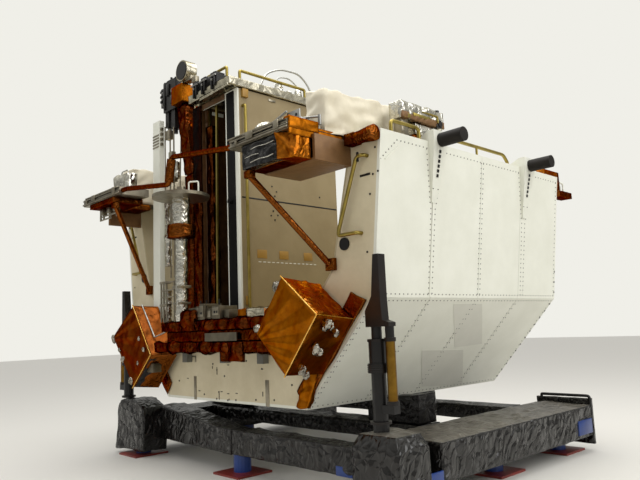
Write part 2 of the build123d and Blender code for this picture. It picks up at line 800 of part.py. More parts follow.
# Knee brackets and the leaning jacks that stand between them and the piers
jack_y = -35
bracket_bottom = knee_height - 226
jack_top_x = knee_half_width + 38
sleeve_x = knee_half_width + 167
bracket_corners = [
    # outwards from the knee, upwards from the knee
    (-30, -226),
    (200, -226),
    (200, -196),
    (137, -176),
    (129, -26),
    (127, 319),
    (74, 319),
    (40, 4),
    (-30, -106),
]
with BuildPart() as knee_brackets:
    for flip in (1, -1):
        with BuildSketch(station(0)):
            with BuildLine():
                Polyline(*[(flip * (knee_half_width + out), knee_height + up) for out, up in bracket_corners],
                         close=True)
            make_face()
        extrude(amount=80)
save(knee_brackets, "knee_brackets")
jack_steps = [
    # lower height, upper height, radius
    (-20, bracket_bottom - 340, 56),
    (bracket_bottom - 340, bracket_bottom - 270, 78),
    (bracket_bottom - 270, bracket_bottom - 90, 66),
    (bracket_bottom - 90, bracket_bottom, 40),
]
with BuildPart() as jacks:
    for flip, foot in ((1, right_pier[2]), (-1, left_pier[2])):
        for z0, z1, radius in [(foot, -20, 60)] + jack_steps:
            add(rod_between((flip * jack_top_x, jack_y, z0), (flip * jack_top_x, jack_y, z1), radius, round_sides))
        add(rod_between((flip * sleeve_x, jack_y, 40), (flip * sleeve_x, jack_y, bracket_bottom), 34, round_sides))
        span = sorted((flip * jack_top_x, flip * (sleeve_x + 34)))
        add(box_between(span, (jack_y - 34, jack_y + 34), (40, 100)))
save(jacks, "knee_jacks")
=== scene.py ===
"""Looks of a cargo-bay payload carrier with its equipment, standing on a wrapped transport cradle."""
import json
import math

import bmesh
import bpy
import numpy as np
from mathutils import Matrix, Vector


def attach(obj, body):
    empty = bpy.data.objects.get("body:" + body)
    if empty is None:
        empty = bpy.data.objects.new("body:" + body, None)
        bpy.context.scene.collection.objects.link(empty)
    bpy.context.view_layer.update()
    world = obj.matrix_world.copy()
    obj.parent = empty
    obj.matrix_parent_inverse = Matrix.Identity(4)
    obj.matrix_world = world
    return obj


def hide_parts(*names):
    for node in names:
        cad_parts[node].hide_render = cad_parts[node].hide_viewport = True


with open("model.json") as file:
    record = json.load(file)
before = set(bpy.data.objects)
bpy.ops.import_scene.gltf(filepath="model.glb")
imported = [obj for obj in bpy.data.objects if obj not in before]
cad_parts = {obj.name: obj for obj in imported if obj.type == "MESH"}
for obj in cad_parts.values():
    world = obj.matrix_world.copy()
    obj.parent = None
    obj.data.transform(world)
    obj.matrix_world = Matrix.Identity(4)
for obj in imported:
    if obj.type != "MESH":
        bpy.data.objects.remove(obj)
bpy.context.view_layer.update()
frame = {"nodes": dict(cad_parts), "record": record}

# The part's own places are in millimetres from the front frame's face and the carrier's underside
FRONT_FACE = -1.280
UNDERSIDE = 0.660


def spot(x, y, z):
    """A point of the carrier, in millimetres, as a place in the scene."""
    return Vector((x / 1000, FRONT_FACE + y / 1000, UNDERSIDE + z / 1000))


# Finishes. Patterns are given in repeats per metre, so 22 is a pattern of 45 mm
SOILING = 3.0  # cloudy handling marks, 0.3 m across
ORANGE_PEEL = 900.0  # skin of sprayed paint, 1.1 mm across
METAL_DRIFT = 9.0
SCRATCHES = (400.0, 400.0, 12.0)  # 2.5 mm apart and 80 mm long: coarser than real ones, so that they show
FILM_DRIFT, FILM_WARP, FILM_SPREAD = 14.0, 5.0, (0.3, 0.7)
WRINKLE_SIZE = (0.07, 0.07, 0.65)  # metres: apart, apart and long
WRINKLE_SLANT = (-0.45, 0.55, 0.3)
DENTS = 6.0


def linear(hex_colour):
    """Linear red, green, blue and alpha of an sRGB hex value."""
    values = [int(hex_colour[i:i + 2], 16) / 255 for i in (1, 3, 5)]
    return tuple(v / 12.92 if v <= 0.04045 else ((v + 0.055) / 1.055) ** 2.4 for v in values) + (1.0,)


def put(tree, kind, settings=None, **sockets):
    """Adds a node with its settings; a socket takes a value or another node's output."""
    node = tree.nodes.new(kind)
    for name, value in (settings or {}).items():
        setattr(node, name, value)
    for name, value in sockets.items():
        by_number = name[0] == "i" and name[1:].isdigit()
        socket = node.inputs[int(name[1:])] if by_number else node.inputs[name.replace("_", " ")]
        if isinstance(value, bpy.types.NodeSocket):
            tree.links.new(value, socket)
        else:
            socket.default_value = value
    return node


def new_finish(name, roughness, metallic=0.0, **shader):
    """A material with its shader and the object's own coordinates."""
    material = bpy.data.materials.new(name)
    material.use_nodes = True
    tree = material.node_tree
    tree.nodes.clear()
    surface = put(tree, "ShaderNodeBsdfPrincipled", Metallic=metallic, Roughness=roughness, **shader)
    put(tree, "ShaderNodeOutputMaterial", Surface=surface.outputs[0])
    place = put(tree, "ShaderNodeTexCoord").outputs["Object"]
    return material, tree, surface, place


def mottle(tree, place, dark, light, scale, spread=(0.35, 0.65)):
    """Colour that drifts between two hex values."""
    cloud = put(tree, "ShaderNodeTexNoise", Vector=place, Scale=scale, Detail=5.0, Roughness=0.6)
    ramp = put(tree, "ShaderNodeValToRGB", Fac=cloud.outputs["Fac"])
    ramp.color_ramp.elements[0].position, ramp.color_ramp.elements[1].position = spread
    ramp.color_ramp.elements[0].color, ramp.color_ramp.elements[1].color = linear(dark), linear(light)
    return ramp.outputs["Color"]


def warped_by(tree, place, scale, share):
    """Coordinates that a slow noise pushes about by a share of a metre."""
    drift = put(tree, "ShaderNodeTexNoise", Vector=place, Scale=scale, Detail=2.0)
    return put(tree, "ShaderNodeVectorMath", {"operation": "MULTIPLY_ADD"}, i0=drift.outputs["Color"],
               i1=(share, share, share), i2=place).outputs[0]


def raise_by(tree, surface, heights):
    """Bumps a surface by several (height output, distance in metres, strength) in turn."""
    normal = None
    for height, distance, strength in heights:
        bump = put(tree, "ShaderNodeBump", Height=height, Distance=distance, Strength=strength)
        if normal is not None:
            tree.links.new(normal, bump.inputs["Normal"])
        normal = bump.outputs["Normal"]
    tree.links.new(normal, surface.inputs["Normal"])


def painted(name, dark, light, roughness, shine=0.5):
    """Sprayed paint: even colour with faint soiling, and an orange-peel skin a millimetre across."""
    material, tree, surface, place = new_finish(name, roughness, Specular_IOR_Level=shine)
    tree.links.new(mottle(tree, place, dark, light, SOILING), surface.inputs["Base Color"])
    skin = put(tree, "ShaderNodeTexNoise", Vector=place, Scale=ORANGE_PEEL, Detail=2.0)
    raise_by(tree, surface, [(skin.outputs["Fac"], 0.0004, 0.25)])
    return material


def metal(name, dark, light, roughness):
    """Bare or anodised metal: colour drifts a little, and long fine scratches break the gloss."""
    material, tree, surface, place = new_finish(name, roughness, metallic=1.0)
    tree.links.new(mottle(tree, place, dark, light, METAL_DRIFT), surface.inputs["Base Color"])
    stretched = put(tree, "ShaderNodeMapping", Vector=place, Scale=SCRATCHES)
    lines = put(tree, "ShaderNodeTexNoise", Vector=stretched.outputs[0], Scale=1.0, Detail=3.0)
    rough = put(tree, "ShaderNodeMapRange", Value=lines.outputs["Fac"], To_Min=roughness * 0.8, To_Max=roughness * 1.3)
    tree.links.new(rough.outputs[0], surface.inputs["Roughness"])
    raise_by(tree, surface, [(lines.outputs["Fac"], 0.0003, 0.3)])
    return material


def film(name, dark, light, roughness, metallic, crease, fine, strength, shine=0.5):
    """Thin wrapping film: straight creases between flat facets, over finer crinkles, both in repeats per metre."""
    tint = linear(light if metallic > 0.5 else "#ffffff")
    material, tree, surface, place = new_finish(name, roughness, metallic, Specular_IOR_Level=shine,
                                                Specular_Tint=tint)
    warped = warped_by(tree, place, FILM_WARP, 0.12)
    tree.links.new(mottle(tree, place, dark, light, FILM_DRIFT, FILM_SPREAD), surface.inputs["Base Color"])
    coarse, small = [put(tree, "ShaderNodeTexVoronoi", {"feature": "DISTANCE_TO_EDGE"}, Vector=warped, Scale=scale)
                     for scale in (crease, fine)]
    raise_by(tree, surface, [(coarse.outputs["Distance"], 0.020, strength),
                             (small.outputs["Distance"], 0.006, strength * 0.4)])
    return material


def wrapping(name, dark, light, roughness, strength):
    """Loose glossy wrapping film: wrinkles 70 mm apart and 650 mm long, slanting down the sides, and flat dents."""
    material, tree, surface, place = new_finish(name, roughness)
    warped = warped_by(tree, place, 4.0, 0.16)
    slant = put(tree, "ShaderNodeMapping", {"vector_type": "TEXTURE"}, Vector=warped, Rotation=WRINKLE_SLANT,
                Scale=WRINKLE_SIZE)
    tree.links.new(mottle(tree, place, dark, light, 9.0, (0.35, 0.75)), surface.inputs["Base Color"])
    wrinkles, dents = [put(tree, "ShaderNodeTexVoronoi", {"feature": "DISTANCE_TO_EDGE"}, Vector=where, Scale=scale)
                       for where, scale in ((slant.outputs[0], 1.0), (warped, DENTS))]
    raise_by(tree, surface, [(wrinkles.outputs["Distance"], 0.045, strength),
                             (dents.outputs["Distance"], 0.03, strength)])
    return material


# White thermal paint over honeycomb panels: bright, slightly warm, faint handling marks
WHITE_PAINT = painted("white_thermal_paint", "#dadacc", "#e1e1d4", 0.5)
# Touched-up areas of the same paint: greyer and duller
PATCH_PAINT = painted("touched_up_paint", "#cdccc0", "#d4d3c7", 0.6)
# Primed frames seen in the shade of the load: matte warm beige, darkened and warmed in part as painted shade
BEIGE_AND_SHADE_PAINT = painted("beige_primer_and_shade", "#c3b797", "#d3c8a9", 0.6)
# Inner panels' primer: matte, browner than the frames
LINING_PAINT = painted("lining_paint", "#ab9e7c", "#b3a684", 0.6)
# Enclosure's side panels: cream paint with a low sheen, darkened to brown as painted shade
SHADED_CREAM_PAINT = painted("cream_panel_paint_shaded", "#877651", "#91805b", 0.55)
# Polyimide film with a metal back: transparent amber over a mirror, so deep orange with bright creases
AMBER_FILM = film("amber_polyimide_film", "#8a4a0c", "#a86414", 0.36, 1.0, 9.0, 40.0, 0.22)
# The same film, older and redder, and darker as painted shade where it lies in the shade
SHADED_COPPER_FILM = film("copper_polyimide_film_shaded", "#683813", "#82481a", 0.24, 1.0, 22.0, 70.0, 0.45)
# A lighter copy for where it faces the lamps, painted light: orange, with bright folds
LIT_COPPER_FILM = film("bright_copper_film", "#96521c", "#d08436", 0.24, 1.0, 18.0, 60.0, 0.5)
# Darker still on the post and the bundles
RUST_FILM = film("rust_polyimide_film", "#45200c", "#6e3614", 0.22, 1.0, 16.0, 60.0, 0.5)
# Drawn tight over the left box: duller, few creases
RUSSET_FILM = film("russet_polyimide_film", "#6e3816", "#8c4e20", 0.36, 1.0, 7.0, 30.0, 0.2)
# Loose turns of it in the shade beside the enclosure: nearly black
SHADED_FILM = film("shaded_polyimide_film", "#1c0c06", "#35180b", 0.26, 0.9, 14.0, 50.0, 0.5)
# Its uncoated face: dull brown, darkened as painted shade where it faces away from the light
SHADED_BROWN_FILM = film("brown_polyimide_film_shaded", "#6c4c2a", "#7e5c36", 0.5, 0.3, 12.0, 60.0, 0.15)
# Film drawn over an edge, where it shines gold
GOLD_FILM = film("gold_polyimide_film", "#8a480e", "#b46c1e", 0.30, 1.0, 14.0, 55.0, 0.5)
# Polyimide tape pressed along the boxes' edges: a thin bright gold line, its brightness painted highlight where the
# edges catch the light
GOLD_TAPE = film("gold_edge_tape_highlight", "#d89a3a", "#f2c672", 0.25, 1.0, 30.0, 90.0, 0.2)
# The same tape flat on a panel, where nothing is mirrored in it: matte ochre
GOLD_TAPE_MATT = painted("gold_tape", "#8f6a22", "#a88030", 0.45)
# Aluminised film: crumpled silver, smooth between its folds
SILVER_FOIL = film("silver_foil", "#98927f", "#c9c3b1", 0.24, 1.0, 8.0, 40.0, 0.35)
# The same film made nearly white as painted light where its folds catch the lamps, with sharp glints
LIT_FOIL = film("bright_silver_foil", "#b4b1a7", "#e4e1d6", 0.18, 1.0, 17.0, 60.0, 0.5)
# Aluminium foil, knotted: colour drifting from dark to bright grey, painted reflections of dark and bright surroundings
KNOTTED_FOIL = film("knotted_aluminium_foil", "#57524a", "#cfcabd", 0.2, 1.0, 26.0, 70.0, 0.7)
# Lining in the enclosure: brown-black film, its darkness painted shade of the enclosure's inside
DARK_SHADE_FILM = film("dark_brown_shade_film", "#4a3018", "#6a4a28", 0.45, 0.2, 6.0, 30.0, 0.25)
# Clear-grey packing film over dark beams: dielectric, glossy, dark with a pale sheen on its folds
PACKING_FILM = wrapping("grey_packing_film", "#0b0a09", "#191614", 0.18, 0.6)
# Its upper side: a paler copy, painted light from above shining back through the loose film
LIT_PACKING_FILM = wrapping("lit_packing_film", "#4a463e", "#6e685e", 0.3, 0.5)
# The same film where it covers black foam: black, with sharp small glints
BLACK_FILM = film("black_packing_film", "#080707", "#100e0d", 0.14, 0.0, 11.0, 40.0, 0.8, shine=0.3)
# Chromated aluminium handrails: dull straw gold
GOLD_RAIL = metal("straw_gold_anodised_aluminium", "#8d7d40", "#a8954f", 0.38)
# Machined aluminium fittings: warm grey with a soft gloss, the warmth painted reflection of warm surroundings
GREY_METAL = metal("machined_aluminium", "#857e6e", "#a29a88", 0.36)
# Brushed stainless steel pins and rods: neutral grey
STEEL = metal("brushed_steel", "#8a8986", "#a3a29e", 0.34)
# Chromated aluminium housings: dark as painted shade, and dull
SHADED_DULL_METAL = metal("dull_chromated_aluminium_shaded", "#5d574a", "#776f5f", 0.45)
# Freshly machined aluminium tubes: the palest metal here
WHITE_METAL = metal("pale_machined_aluminium", "#a9a8a2", "#c4c3bd", 0.4)
# Painted screw heads: grey dots against the white panels
FASTENER_METAL = painted("grey_fastener", "#5b5a52", "#6e6d64", 0.5)
# Anodised sleeves of the jacks: amber brown
SLEEVE_METAL = metal("amber_brown_sleeve", "#6a4c1c", "#8a6a2a", 0.4)
# Black anodised aluminium: matte dye over the metal, so almost no mirror
BLACK_METAL = painted("black_anodised_aluminium", "#0c0b0b", "#171514", 0.35, shine=0.35)
# Rubber covers of the trunnions: brownish black, dull from handling
BLACK_RUBBER = painted("black_rubber_cover", "#14110e", "#1f1a15", 0.65, shine=0.25)
# Seal of the enclosure: rubber that nothing has dulled
SEAL_RUBBER = painted("black_rubber_seal", "#040404", "#0a0909", 0.6, shine=0.15)
# Dark anodised jacks: brown where the black dye has worn
BROWN_METAL = painted("dark_brown_anodised_aluminium", "#0f0b09", "#1d1612", 0.4, shine=0.35)
# Enamelled jack posts and floor plates: glossy blue, duller red
BLUE_ENAMEL = painted("blue_enamel", "#0f2c66", "#173b82", 0.3)
RED_ENAMEL = painted("red_enamel", "#6a2018", "#862a20", 0.4)
# Woven fibreglass cover cloth: cream white, soft sheen, threads about a millimetre apart
COVER_CLOTH = painted("woven_cover_cloth", "#d0c6ad", "#e4dcc6", 0.75)

SLOT_FINISH = {
    "white_paint": WHITE_PAINT, "beige_paint": BEIGE_AND_SHADE_PAINT, "lining_paint": LINING_PAINT,
    "packing_film": PACKING_FILM, "copper_film": SHADED_COPPER_FILM, "amber_film": AMBER_FILM, "gold_foil": GOLD_FILM,
    "silver_foil": SILVER_FOIL, "gold_anodised": GOLD_RAIL, "grey_metal": GREY_METAL, "black_metal": BLACK_METAL,
    "white_fabric": COVER_CLOTH, "steel": STEEL, "blue_paint": BLUE_ENAMEL, "red_paint": RED_ENAMEL,
    "brown_metal": BROWN_METAL, "rubber_black": BLACK_RUBBER,
}
NODE_FINISH = {"instrument_enclosure": SHADED_CREAM_PAINT, "enclosure_seals": SEAL_RUBBER, "beam_brackets": FASTENER_METAL,
               "beam_fittings": SHADED_DULL_METAL}
for entry in frame["record"]["subparts"]:
    for material_slot in frame["nodes"][entry["node"]].material_slots:
        material_slot.material = SLOT_FINISH[entry["material_slot"]]
for name, finish in NODE_FINISH.items():
    frame["nodes"][name].material_slots[0].material = finish

# Meshes
MERGE_DISTANCE = 1e-5
SHARP_ANGLE = math.radians(40)  # for shading
SHARP_TURN = 0.5  # radians between two faces of a block at an edge that film is drawn over
FULL_TURN = 6.28
FOLD_LAYERS = 7
# Folds along a post and along a beam: how far each axis counts, as film drawn round a length folds across it
POST_LEAN, BEAM_LEAN = (1.0, 0.6, 0.25), (0.9, 0.9, 0.35)


def show(name, mesh, finish, body="carrier", stands_for=(), smooth=False):
    """Puts a finished mesh into the scene: its finish, the body it rides on and the nodes it stands for."""
    mesh.name = name
    piece = bpy.data.objects.new(name, mesh)
    bpy.context.scene.collection.objects.link(piece)
    mesh.materials.append(finish)
    if smooth:
        mesh.shade_smooth()
    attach(piece, body)
    if stands_for:
        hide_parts(*stands_for)
    return piece


def closed(form):
    """A bmesh with its doubles merged and its faces turned outwards."""
    bmesh.ops.remove_doubles(form, verts=form.verts, dist=MERGE_DISTANCE)
    bmesh.ops.recalc_face_normals(form, faces=form.faces)
    return form


def to_mesh(form):
    """A closed bmesh as a mesh."""
    closed(form)
    mesh = bpy.data.meshes.new("made")
    form.to_mesh(mesh)
    form.free()
    return mesh


def folds(points, seed, size, lean=None):
    """Heights from 0 to 1 of crumpled film: straight creases that start and die out; lean squeezes them one way."""
    chance = np.random.default_rng(seed)
    swirl = np.sin(points[:, [1, 2, 0]] * (2.0 / size) + chance.uniform(0, FULL_TURN, 3))
    warped = points + 0.10 * size * swirl
    total, weight = np.zeros(len(points)), 0.0
    for layer in range(FOLD_LAYERS):
        way = chance.normal(size=3) * (1.0 if lean is None else np.array(lean))
        way /= np.linalg.norm(way)
        across = chance.normal(size=3)
        across /= np.linalg.norm(across)
        pitch = size * chance.uniform(0.5, 1.8)
        wave = np.abs(((warped @ way / pitch + chance.uniform()) % 1.0) * 2 - 1)
        fade = 0.5 + 0.5 * np.sin(points @ across * 2.4 / size + chance.uniform(0, FULL_TURN))
        total += pitch / size * wave * fade
        weight += pitch / size * 0.5
    return total / weight


def crumple(form, seed, size, depth, calm=None, lean=None):
    """Moves a bmesh's points in and out along their normals by folds; calm gives each point's share."""
    form.normal_update()
    points = np.array([vert.co for vert in form.verts])
    normals = np.array([vert.normal for vert in form.verts])
    heights = folds(points, seed, size, lean) - 0.5
    share = np.ones(len(points)) if calm is None else calm
    moved = points + normals * (heights * depth * share)[:, None]
    for vert, co in zip(form.verts, moved):
        vert.co = co
    return form


def patch(form, corners, counts):
    """A grid of quads between four corners, given in turn round the patch."""
    a, b, c, d = [Vector(corner) for corner in corners]
    across, along = counts
    rows = []
    for j in range(along + 1):
        start, end = a.lerp(d, j / along), b.lerp(c, j / along)
        rows.append([form.verts.new(start.lerp(end, i / across)) for i in range(across + 1)])
    for lower, upper in zip(rows, rows[1:]):
        for i in range(across):
            form.faces.new((lower[i], lower[i + 1], upper[i + 1], upper[i]))


def six_sided(front, back, wide, tall, deep):
    """A closed form between two loops of four places, its faces cut into that many quads."""
    form = bmesh.new()
    patch(form, front, (wide, tall))
    patch(form, back, (wide, tall))
    for i in range(4):
        j = (i + 1) % 4
        patch(form, (front[i], front[j], back[j], back[i]), (wide if i % 2 == 0 else tall, deep))
    return closed(form)


def block_form(front, back, cell):
    """A closed form of fine quads between two loops of four corners, in carrier millimetres; cell is in metres."""
    front, back = [spot(*corner) for corner in front], [spot(*corner) for corner in back]
    wide = max(1, round(max((front[1] - front[0]).length, (back[1] - back[0]).length) / cell))
    tall = max(1, round(max((front[2] - front[1]).length, (back[2] - back[1]).length) / cell))
    deep = max(1, round(max((f - b).length for f, b in zip(front, back)) / cell))
    return six_sided(front, back, wide, tall, deep)


def sheet_form(corners, cell, thickness):
    """A thin plate of fine quads between four carrier points given in turn; thickness goes along its normal."""
    corners = [spot(*corner) for corner in corners]
    normal = (corners[1] - corners[0]).cross(corners[3] - corners[0]).normalized() * thickness / 1000
    wide = max(1, round((corners[1] - corners[0]).length * 1000 / cell))
    tall = max(1, round((corners[3] - corners[0]).length * 1000 / cell))
    return six_sided([corner + normal / 2 for corner in corners], [corner - normal / 2 for corner in corners],
                     wide, tall, 1)


def round_edges(form, reach, inward):
    """Pulls the sharp edges of a form inwards, and returns each point's calm: 0 at an edge, 1 beyond reach."""
    sharp = [edge for edge in form.edges if len(edge.link_faces) == 2 and edge.calc_face_angle(0.0) > SHARP_TURN]
    ends = np.array([[edge.verts[0].co, edge.verts[1].co] for edge in sharp]).reshape(-1, 3)
    points = np.array([vert.co for vert in form.verts])
    nearest = np.full(len(points), np.inf)
    at_once = 400
    for start in range(0, len(ends), at_once):
        gap = np.linalg.norm(points[:, None, :] - ends[None, start:start + at_once, :], axis=2)
        nearest = np.minimum(nearest, gap.min(axis=1))
    calm = np.clip(nearest / reach, 0, 1)
    form.normal_update()
    for vert, share in zip(form.verts, calm):
        vert.co -= vert.normal * inward * (1 - share)
    return calm


EDGE_CELLS, EDGE_PULL = 2.5, 0.3  # a wrapped block's drawn edge: its reach in quads, and its share of the folds' depth


def wrapped_block(name, front, back, finish, cell, size, depth, seed, stands_for=(), body="carrier", edge=0.35,
                  lean=None):
    """A block wrapped in film: fine quads, edges drawn tight, faces crumpled; all sizes in millimetres.

    cell is the quads' size, size and depth are the folds', and edge is the share of their depth left at an edge.
    """
    form = block_form(front, back, cell / 1000)
    calm = round_edges(form, EDGE_CELLS * cell / 1000, depth * EDGE_PULL / 1000)
    crumple(form, seed, size / 1000, depth / 1000, edge + (1 - edge) * calm, lean)
    return show(name, to_mesh(form), finish, body, stands_for, smooth=True)


def box_corners(x, y, z):
    """The two loops of a box's corners, front and back, each from the lower left anticlockwise."""
    front = [(x[0], y[0], z[0]), (x[1], y[0], z[0]), (x[1], y[0], z[1]), (x[0], y[0], z[1])]
    return front, [(px, y[1], pz) for px, _, pz in front]


def wrapped_box(name, x, y, z, *film_and_folds, **more):
    """A wrapped block between two places along each axis."""
    return wrapped_block(name, *box_corners(x, y, z), *film_and_folds, **more)


def set_back(front, depth):
    """A front loop of corners, and the same loop further back."""
    return front, [(x, y + depth, z) for x, y, z in front]


def joined(forms):
    """Several bmeshes in one mesh."""
    whole = bmesh.new()
    for form in forms:
        mesh = bpy.data.meshes.new("part")
        form.to_mesh(mesh)
        form.free()
        whole.from_mesh(mesh)
        bpy.data.meshes.remove(mesh)
    return whole


def box_form(x, y, z, bevel):
    """A box between two places along each axis, in carrier millimetres, its edges broken by a bevel."""
    form = bmesh.new()
    low, high = spot(x[0], y[0], z[0]), spot(x[1], y[1], z[1])
    place = Matrix.Translation((low + high) / 2) @ Matrix.Diagonal((*(high - low), 1.0))
    bmesh.ops.create_cube(form, size=1.0, matrix=place)
    if bevel:
        bmesh.ops.bevel(form, geom=form.edges[:], offset=bevel / 1000, segments=2, affect="EDGES", profile=0.5)
    return form


def rod_form(start, end, radius, sides):
    """A round rod between two carrier points."""
    first, last = spot(*start), spot(*end)
    turn = (last - first).to_track_quat("Z", "Y").to_matrix().to_4x4()
    form = bmesh.new()
    bmesh.ops.create_cone(form, cap_ends=True, segments=sides, radius1=radius / 1000, radius2=radius / 1000,
                          depth=(last - first).length, matrix=Matrix.Translation((first + last) / 2) @ turn)
    return form


def skin(form, rings):
    """Quads between rings of points."""
    sides = len(rings[0])
    for lower, upper in zip(rings, rings[1:]):
        for k in range(sides):
            form.faces.new((lower[k], lower[(k + 1) % sides], upper[(k + 1) % sides], upper[k]))


def bar_form(points, radius, bend, sides, steps=6):
    """A bent round bar along carrier points, its corners on arcs."""
    ends = [spot(*point) for point in points]
    route = [ends[0]]
    for before, corner, after in zip(ends, ends[1:], ends[2:]):
        cut = min(bend / 1000, (before - corner).length / 2, (after - corner).length / 2)
        start = corner + (before - corner).normalized() * cut
        end = corner + (after - corner).normalized() * cut
        for step in range(steps + 1):
            t = step / steps
            route.append(start * (1 - t) ** 2 + corner * 2 * t * (1 - t) + end * t ** 2)
    route.append(ends[-1])
    form = bmesh.new()
    rings = []
    out = (route[1] - route[0]).normalized().orthogonal().normalized()
    for i, point in enumerate(route):
        way = (route[min(i + 1, len(route) - 1)] - route[max(i - 1, 0)]).normalized()
        out = (out - way * out.dot(way)).normalized()
        other = way.cross(out)
        rings.append([form.verts.new(point + (out * math.cos(a) + other * math.sin(a)) * radius / 1000)
                      for a in (2 * math.pi * k / sides for k in range(sides))])
    skin(form, rings)
    form.faces.new(list(reversed(rings[0])))
    form.faces.new(rings[-1])
    return form


def smooth_by_angle(piece):
    """Rounds a piece's shading and keeps its sharp edges."""
    piece.data.shade_smooth()
    piece.data.set_sharp_from_angle(angle=SHARP_ANGLE)
    return piece


BREAK, BREAK_SHARE = 4.0, 0.2  # the broken edges of small boxes: millimetres, and at most this share of a side
ROD_SIDES, BAR_SIDES, BEND_STEPS = 16, 10, 5


def small_parts(name, finish, boxes=(), rods=(), bars=(), body="carrier", stands_for=()):
    """Small hardware in one piece: boxes (x, y, z spans), rods (start, end, radius), bars (points, radius, bend)."""
    forms = [box_form(x, y, z, min(BREAK, BREAK_SHARE * min(x[1] - x[0], y[1] - y[0], z[1] - z[0])))
             for x, y, z in boxes]
    forms += [rod_form(start, end, radius, ROD_SIDES) for start, end, radius in rods]
    forms += [bar_form(points, radius, bend, BAR_SIDES, BEND_STEPS) for points, radius, bend in bars]
    return smooth_by_angle(show(name, to_mesh(joined(forms)), finish, body, stands_for))


def finish_faces(piece, finishes, choose):
    """Gives each face of a piece the finish whose number choose returns for its normal."""
    piece.data.materials.clear()
    for finish in finishes:
        piece.data.materials.append(finish)
    for face in piece.data.polygons:
        face.material_index = choose(face.normal)


def fan(points, centre, count, seed):
    """Heights from 0 to 1 of creases that spread from one point, for front faces seen along Y."""
    chance = np.random.default_rng(seed)
    angle = np.arctan2(points[:, 2] - centre.z, points[:, 0] - centre.x)
    bend = angle + 0.10 * np.sin(angle * 3.1 + chance.uniform(0, FULL_TURN))
    return np.abs(((bend * count / math.pi + chance.uniform()) % 1.0) * 2 - 1)


LUMP_FOLD, LUMP_DEPTH = 1100, 1300  # a lump's folds are its radius / 1.1 wide and / 1.3 deep, in metres


def lump(centre, radius, seed, flat=0.55):
    """A crumpled ball of foil, flattened from front to back."""
    form = bmesh.new()
    bmesh.ops.create_icosphere(form, subdivisions=3, radius=radius / 1000)
    crumple(form, seed, radius / LUMP_FOLD, radius / LUMP_DEPTH)
    for vert in form.verts:
        vert.co.y *= flat
        vert.co += spot(*centre)
    return form


def foil_lumps(places):
    """One mesh of foil balls, each given by its centre, radius, seed and perhaps how flat it is."""
    return to_mesh(joined([lump(*place) for place in places]))


# Wrapped boxes on the lower slopes: amber fronts with creases that spread from a corner, crumpled tops
FILM_BOXES = [
    # name, front corners from the top clockwise, front y, shift to the back, point the creases spread from, seed,
    # depth of the top's folds in metres, finishes of the front, the top and the rest, nodes it stands for
    ("right_film_box", [(1514, 1081), (1897, 774), (1524, 329), (1180, 652)], -560, (-156, 540, -34), (1150, 600), 11,
     0.040, (AMBER_FILM, LIT_COPPER_FILM, AMBER_FILM), ("film_boxes",)),
    ("left_film_box", [(-1365, 1014), (-965, 469), (-1360, 115), (-1865, 672)], -300, (150, 230, -20), (-1900, 640),
     23, 0.012, (RUSSET_FILM, RUSSET_FILM, SHADED_COPPER_FILM), ()),
]
# In metres: quads, reach and draw of the drawn-in edges, folds and their depth, folds of the top, spreading creases
BOX_CELL, EDGE_REACH, EDGE_DRAW = 0.011, 0.03, 0.008
BOX_FOLD, BOX_DEPTH, EDGE_SHARE, TOP_FOLD = 0.16, 0.022, 0.12, 0.10
SPREADING_CREASES, SPREADING_DEPTH = 10, 0.014
# How far a normal turns up or to the front for folds, and for the choice of finish
TOP_FOLDED, FRONT_CREASED, TOP_FINISHED, FRONT_FINISHED = 0.3, -0.5, 0.25, -0.75
for name, corners, front_y, shift, centre, seed, top_depth, finishes, stands_for in FILM_BOXES:
    front = [(x, front_y, z) for x, z in corners]
    form = block_form(front, [(x + shift[0], y + shift[1], z + shift[2]) for x, y, z in front], BOX_CELL)
    calm = round_edges(form, EDGE_REACH, EDGE_DRAW)
    crumple(form, seed, BOX_FOLD, BOX_DEPTH, EDGE_SHARE + (1 - EDGE_SHARE) * calm)
    form.normal_update()
    upward = np.array([1.0 if vert.normal.z > TOP_FOLDED and vert.normal.y > FRONT_CREASED else 0.0
                       for vert in form.verts])
    crumple(form, seed + 1, TOP_FOLD, top_depth, upward * calm)
    points = np.array([vert.co for vert in form.verts])
    heights = fan(points, spot(centre[0], front_y, centre[1]), SPREADING_CREASES, seed)
    for vert, height, share in zip(form.verts, heights, calm):
        if vert.normal.y < FRONT_CREASED:
            vert.co.y += SPREADING_DEPTH * (height - 0.5) * share
    piece = show(name, to_mesh(form), finishes[0], stands_for=stands_for, smooth=True)
    # The right box's top takes the lit copper, painted light; the left box's other sides the shaded copper, painted
    # shade
    finish_faces(piece, finishes,
                 lambda normal: 0 if normal.y < FRONT_FINISHED else (1 if normal.z > TOP_FINISHED else 2))
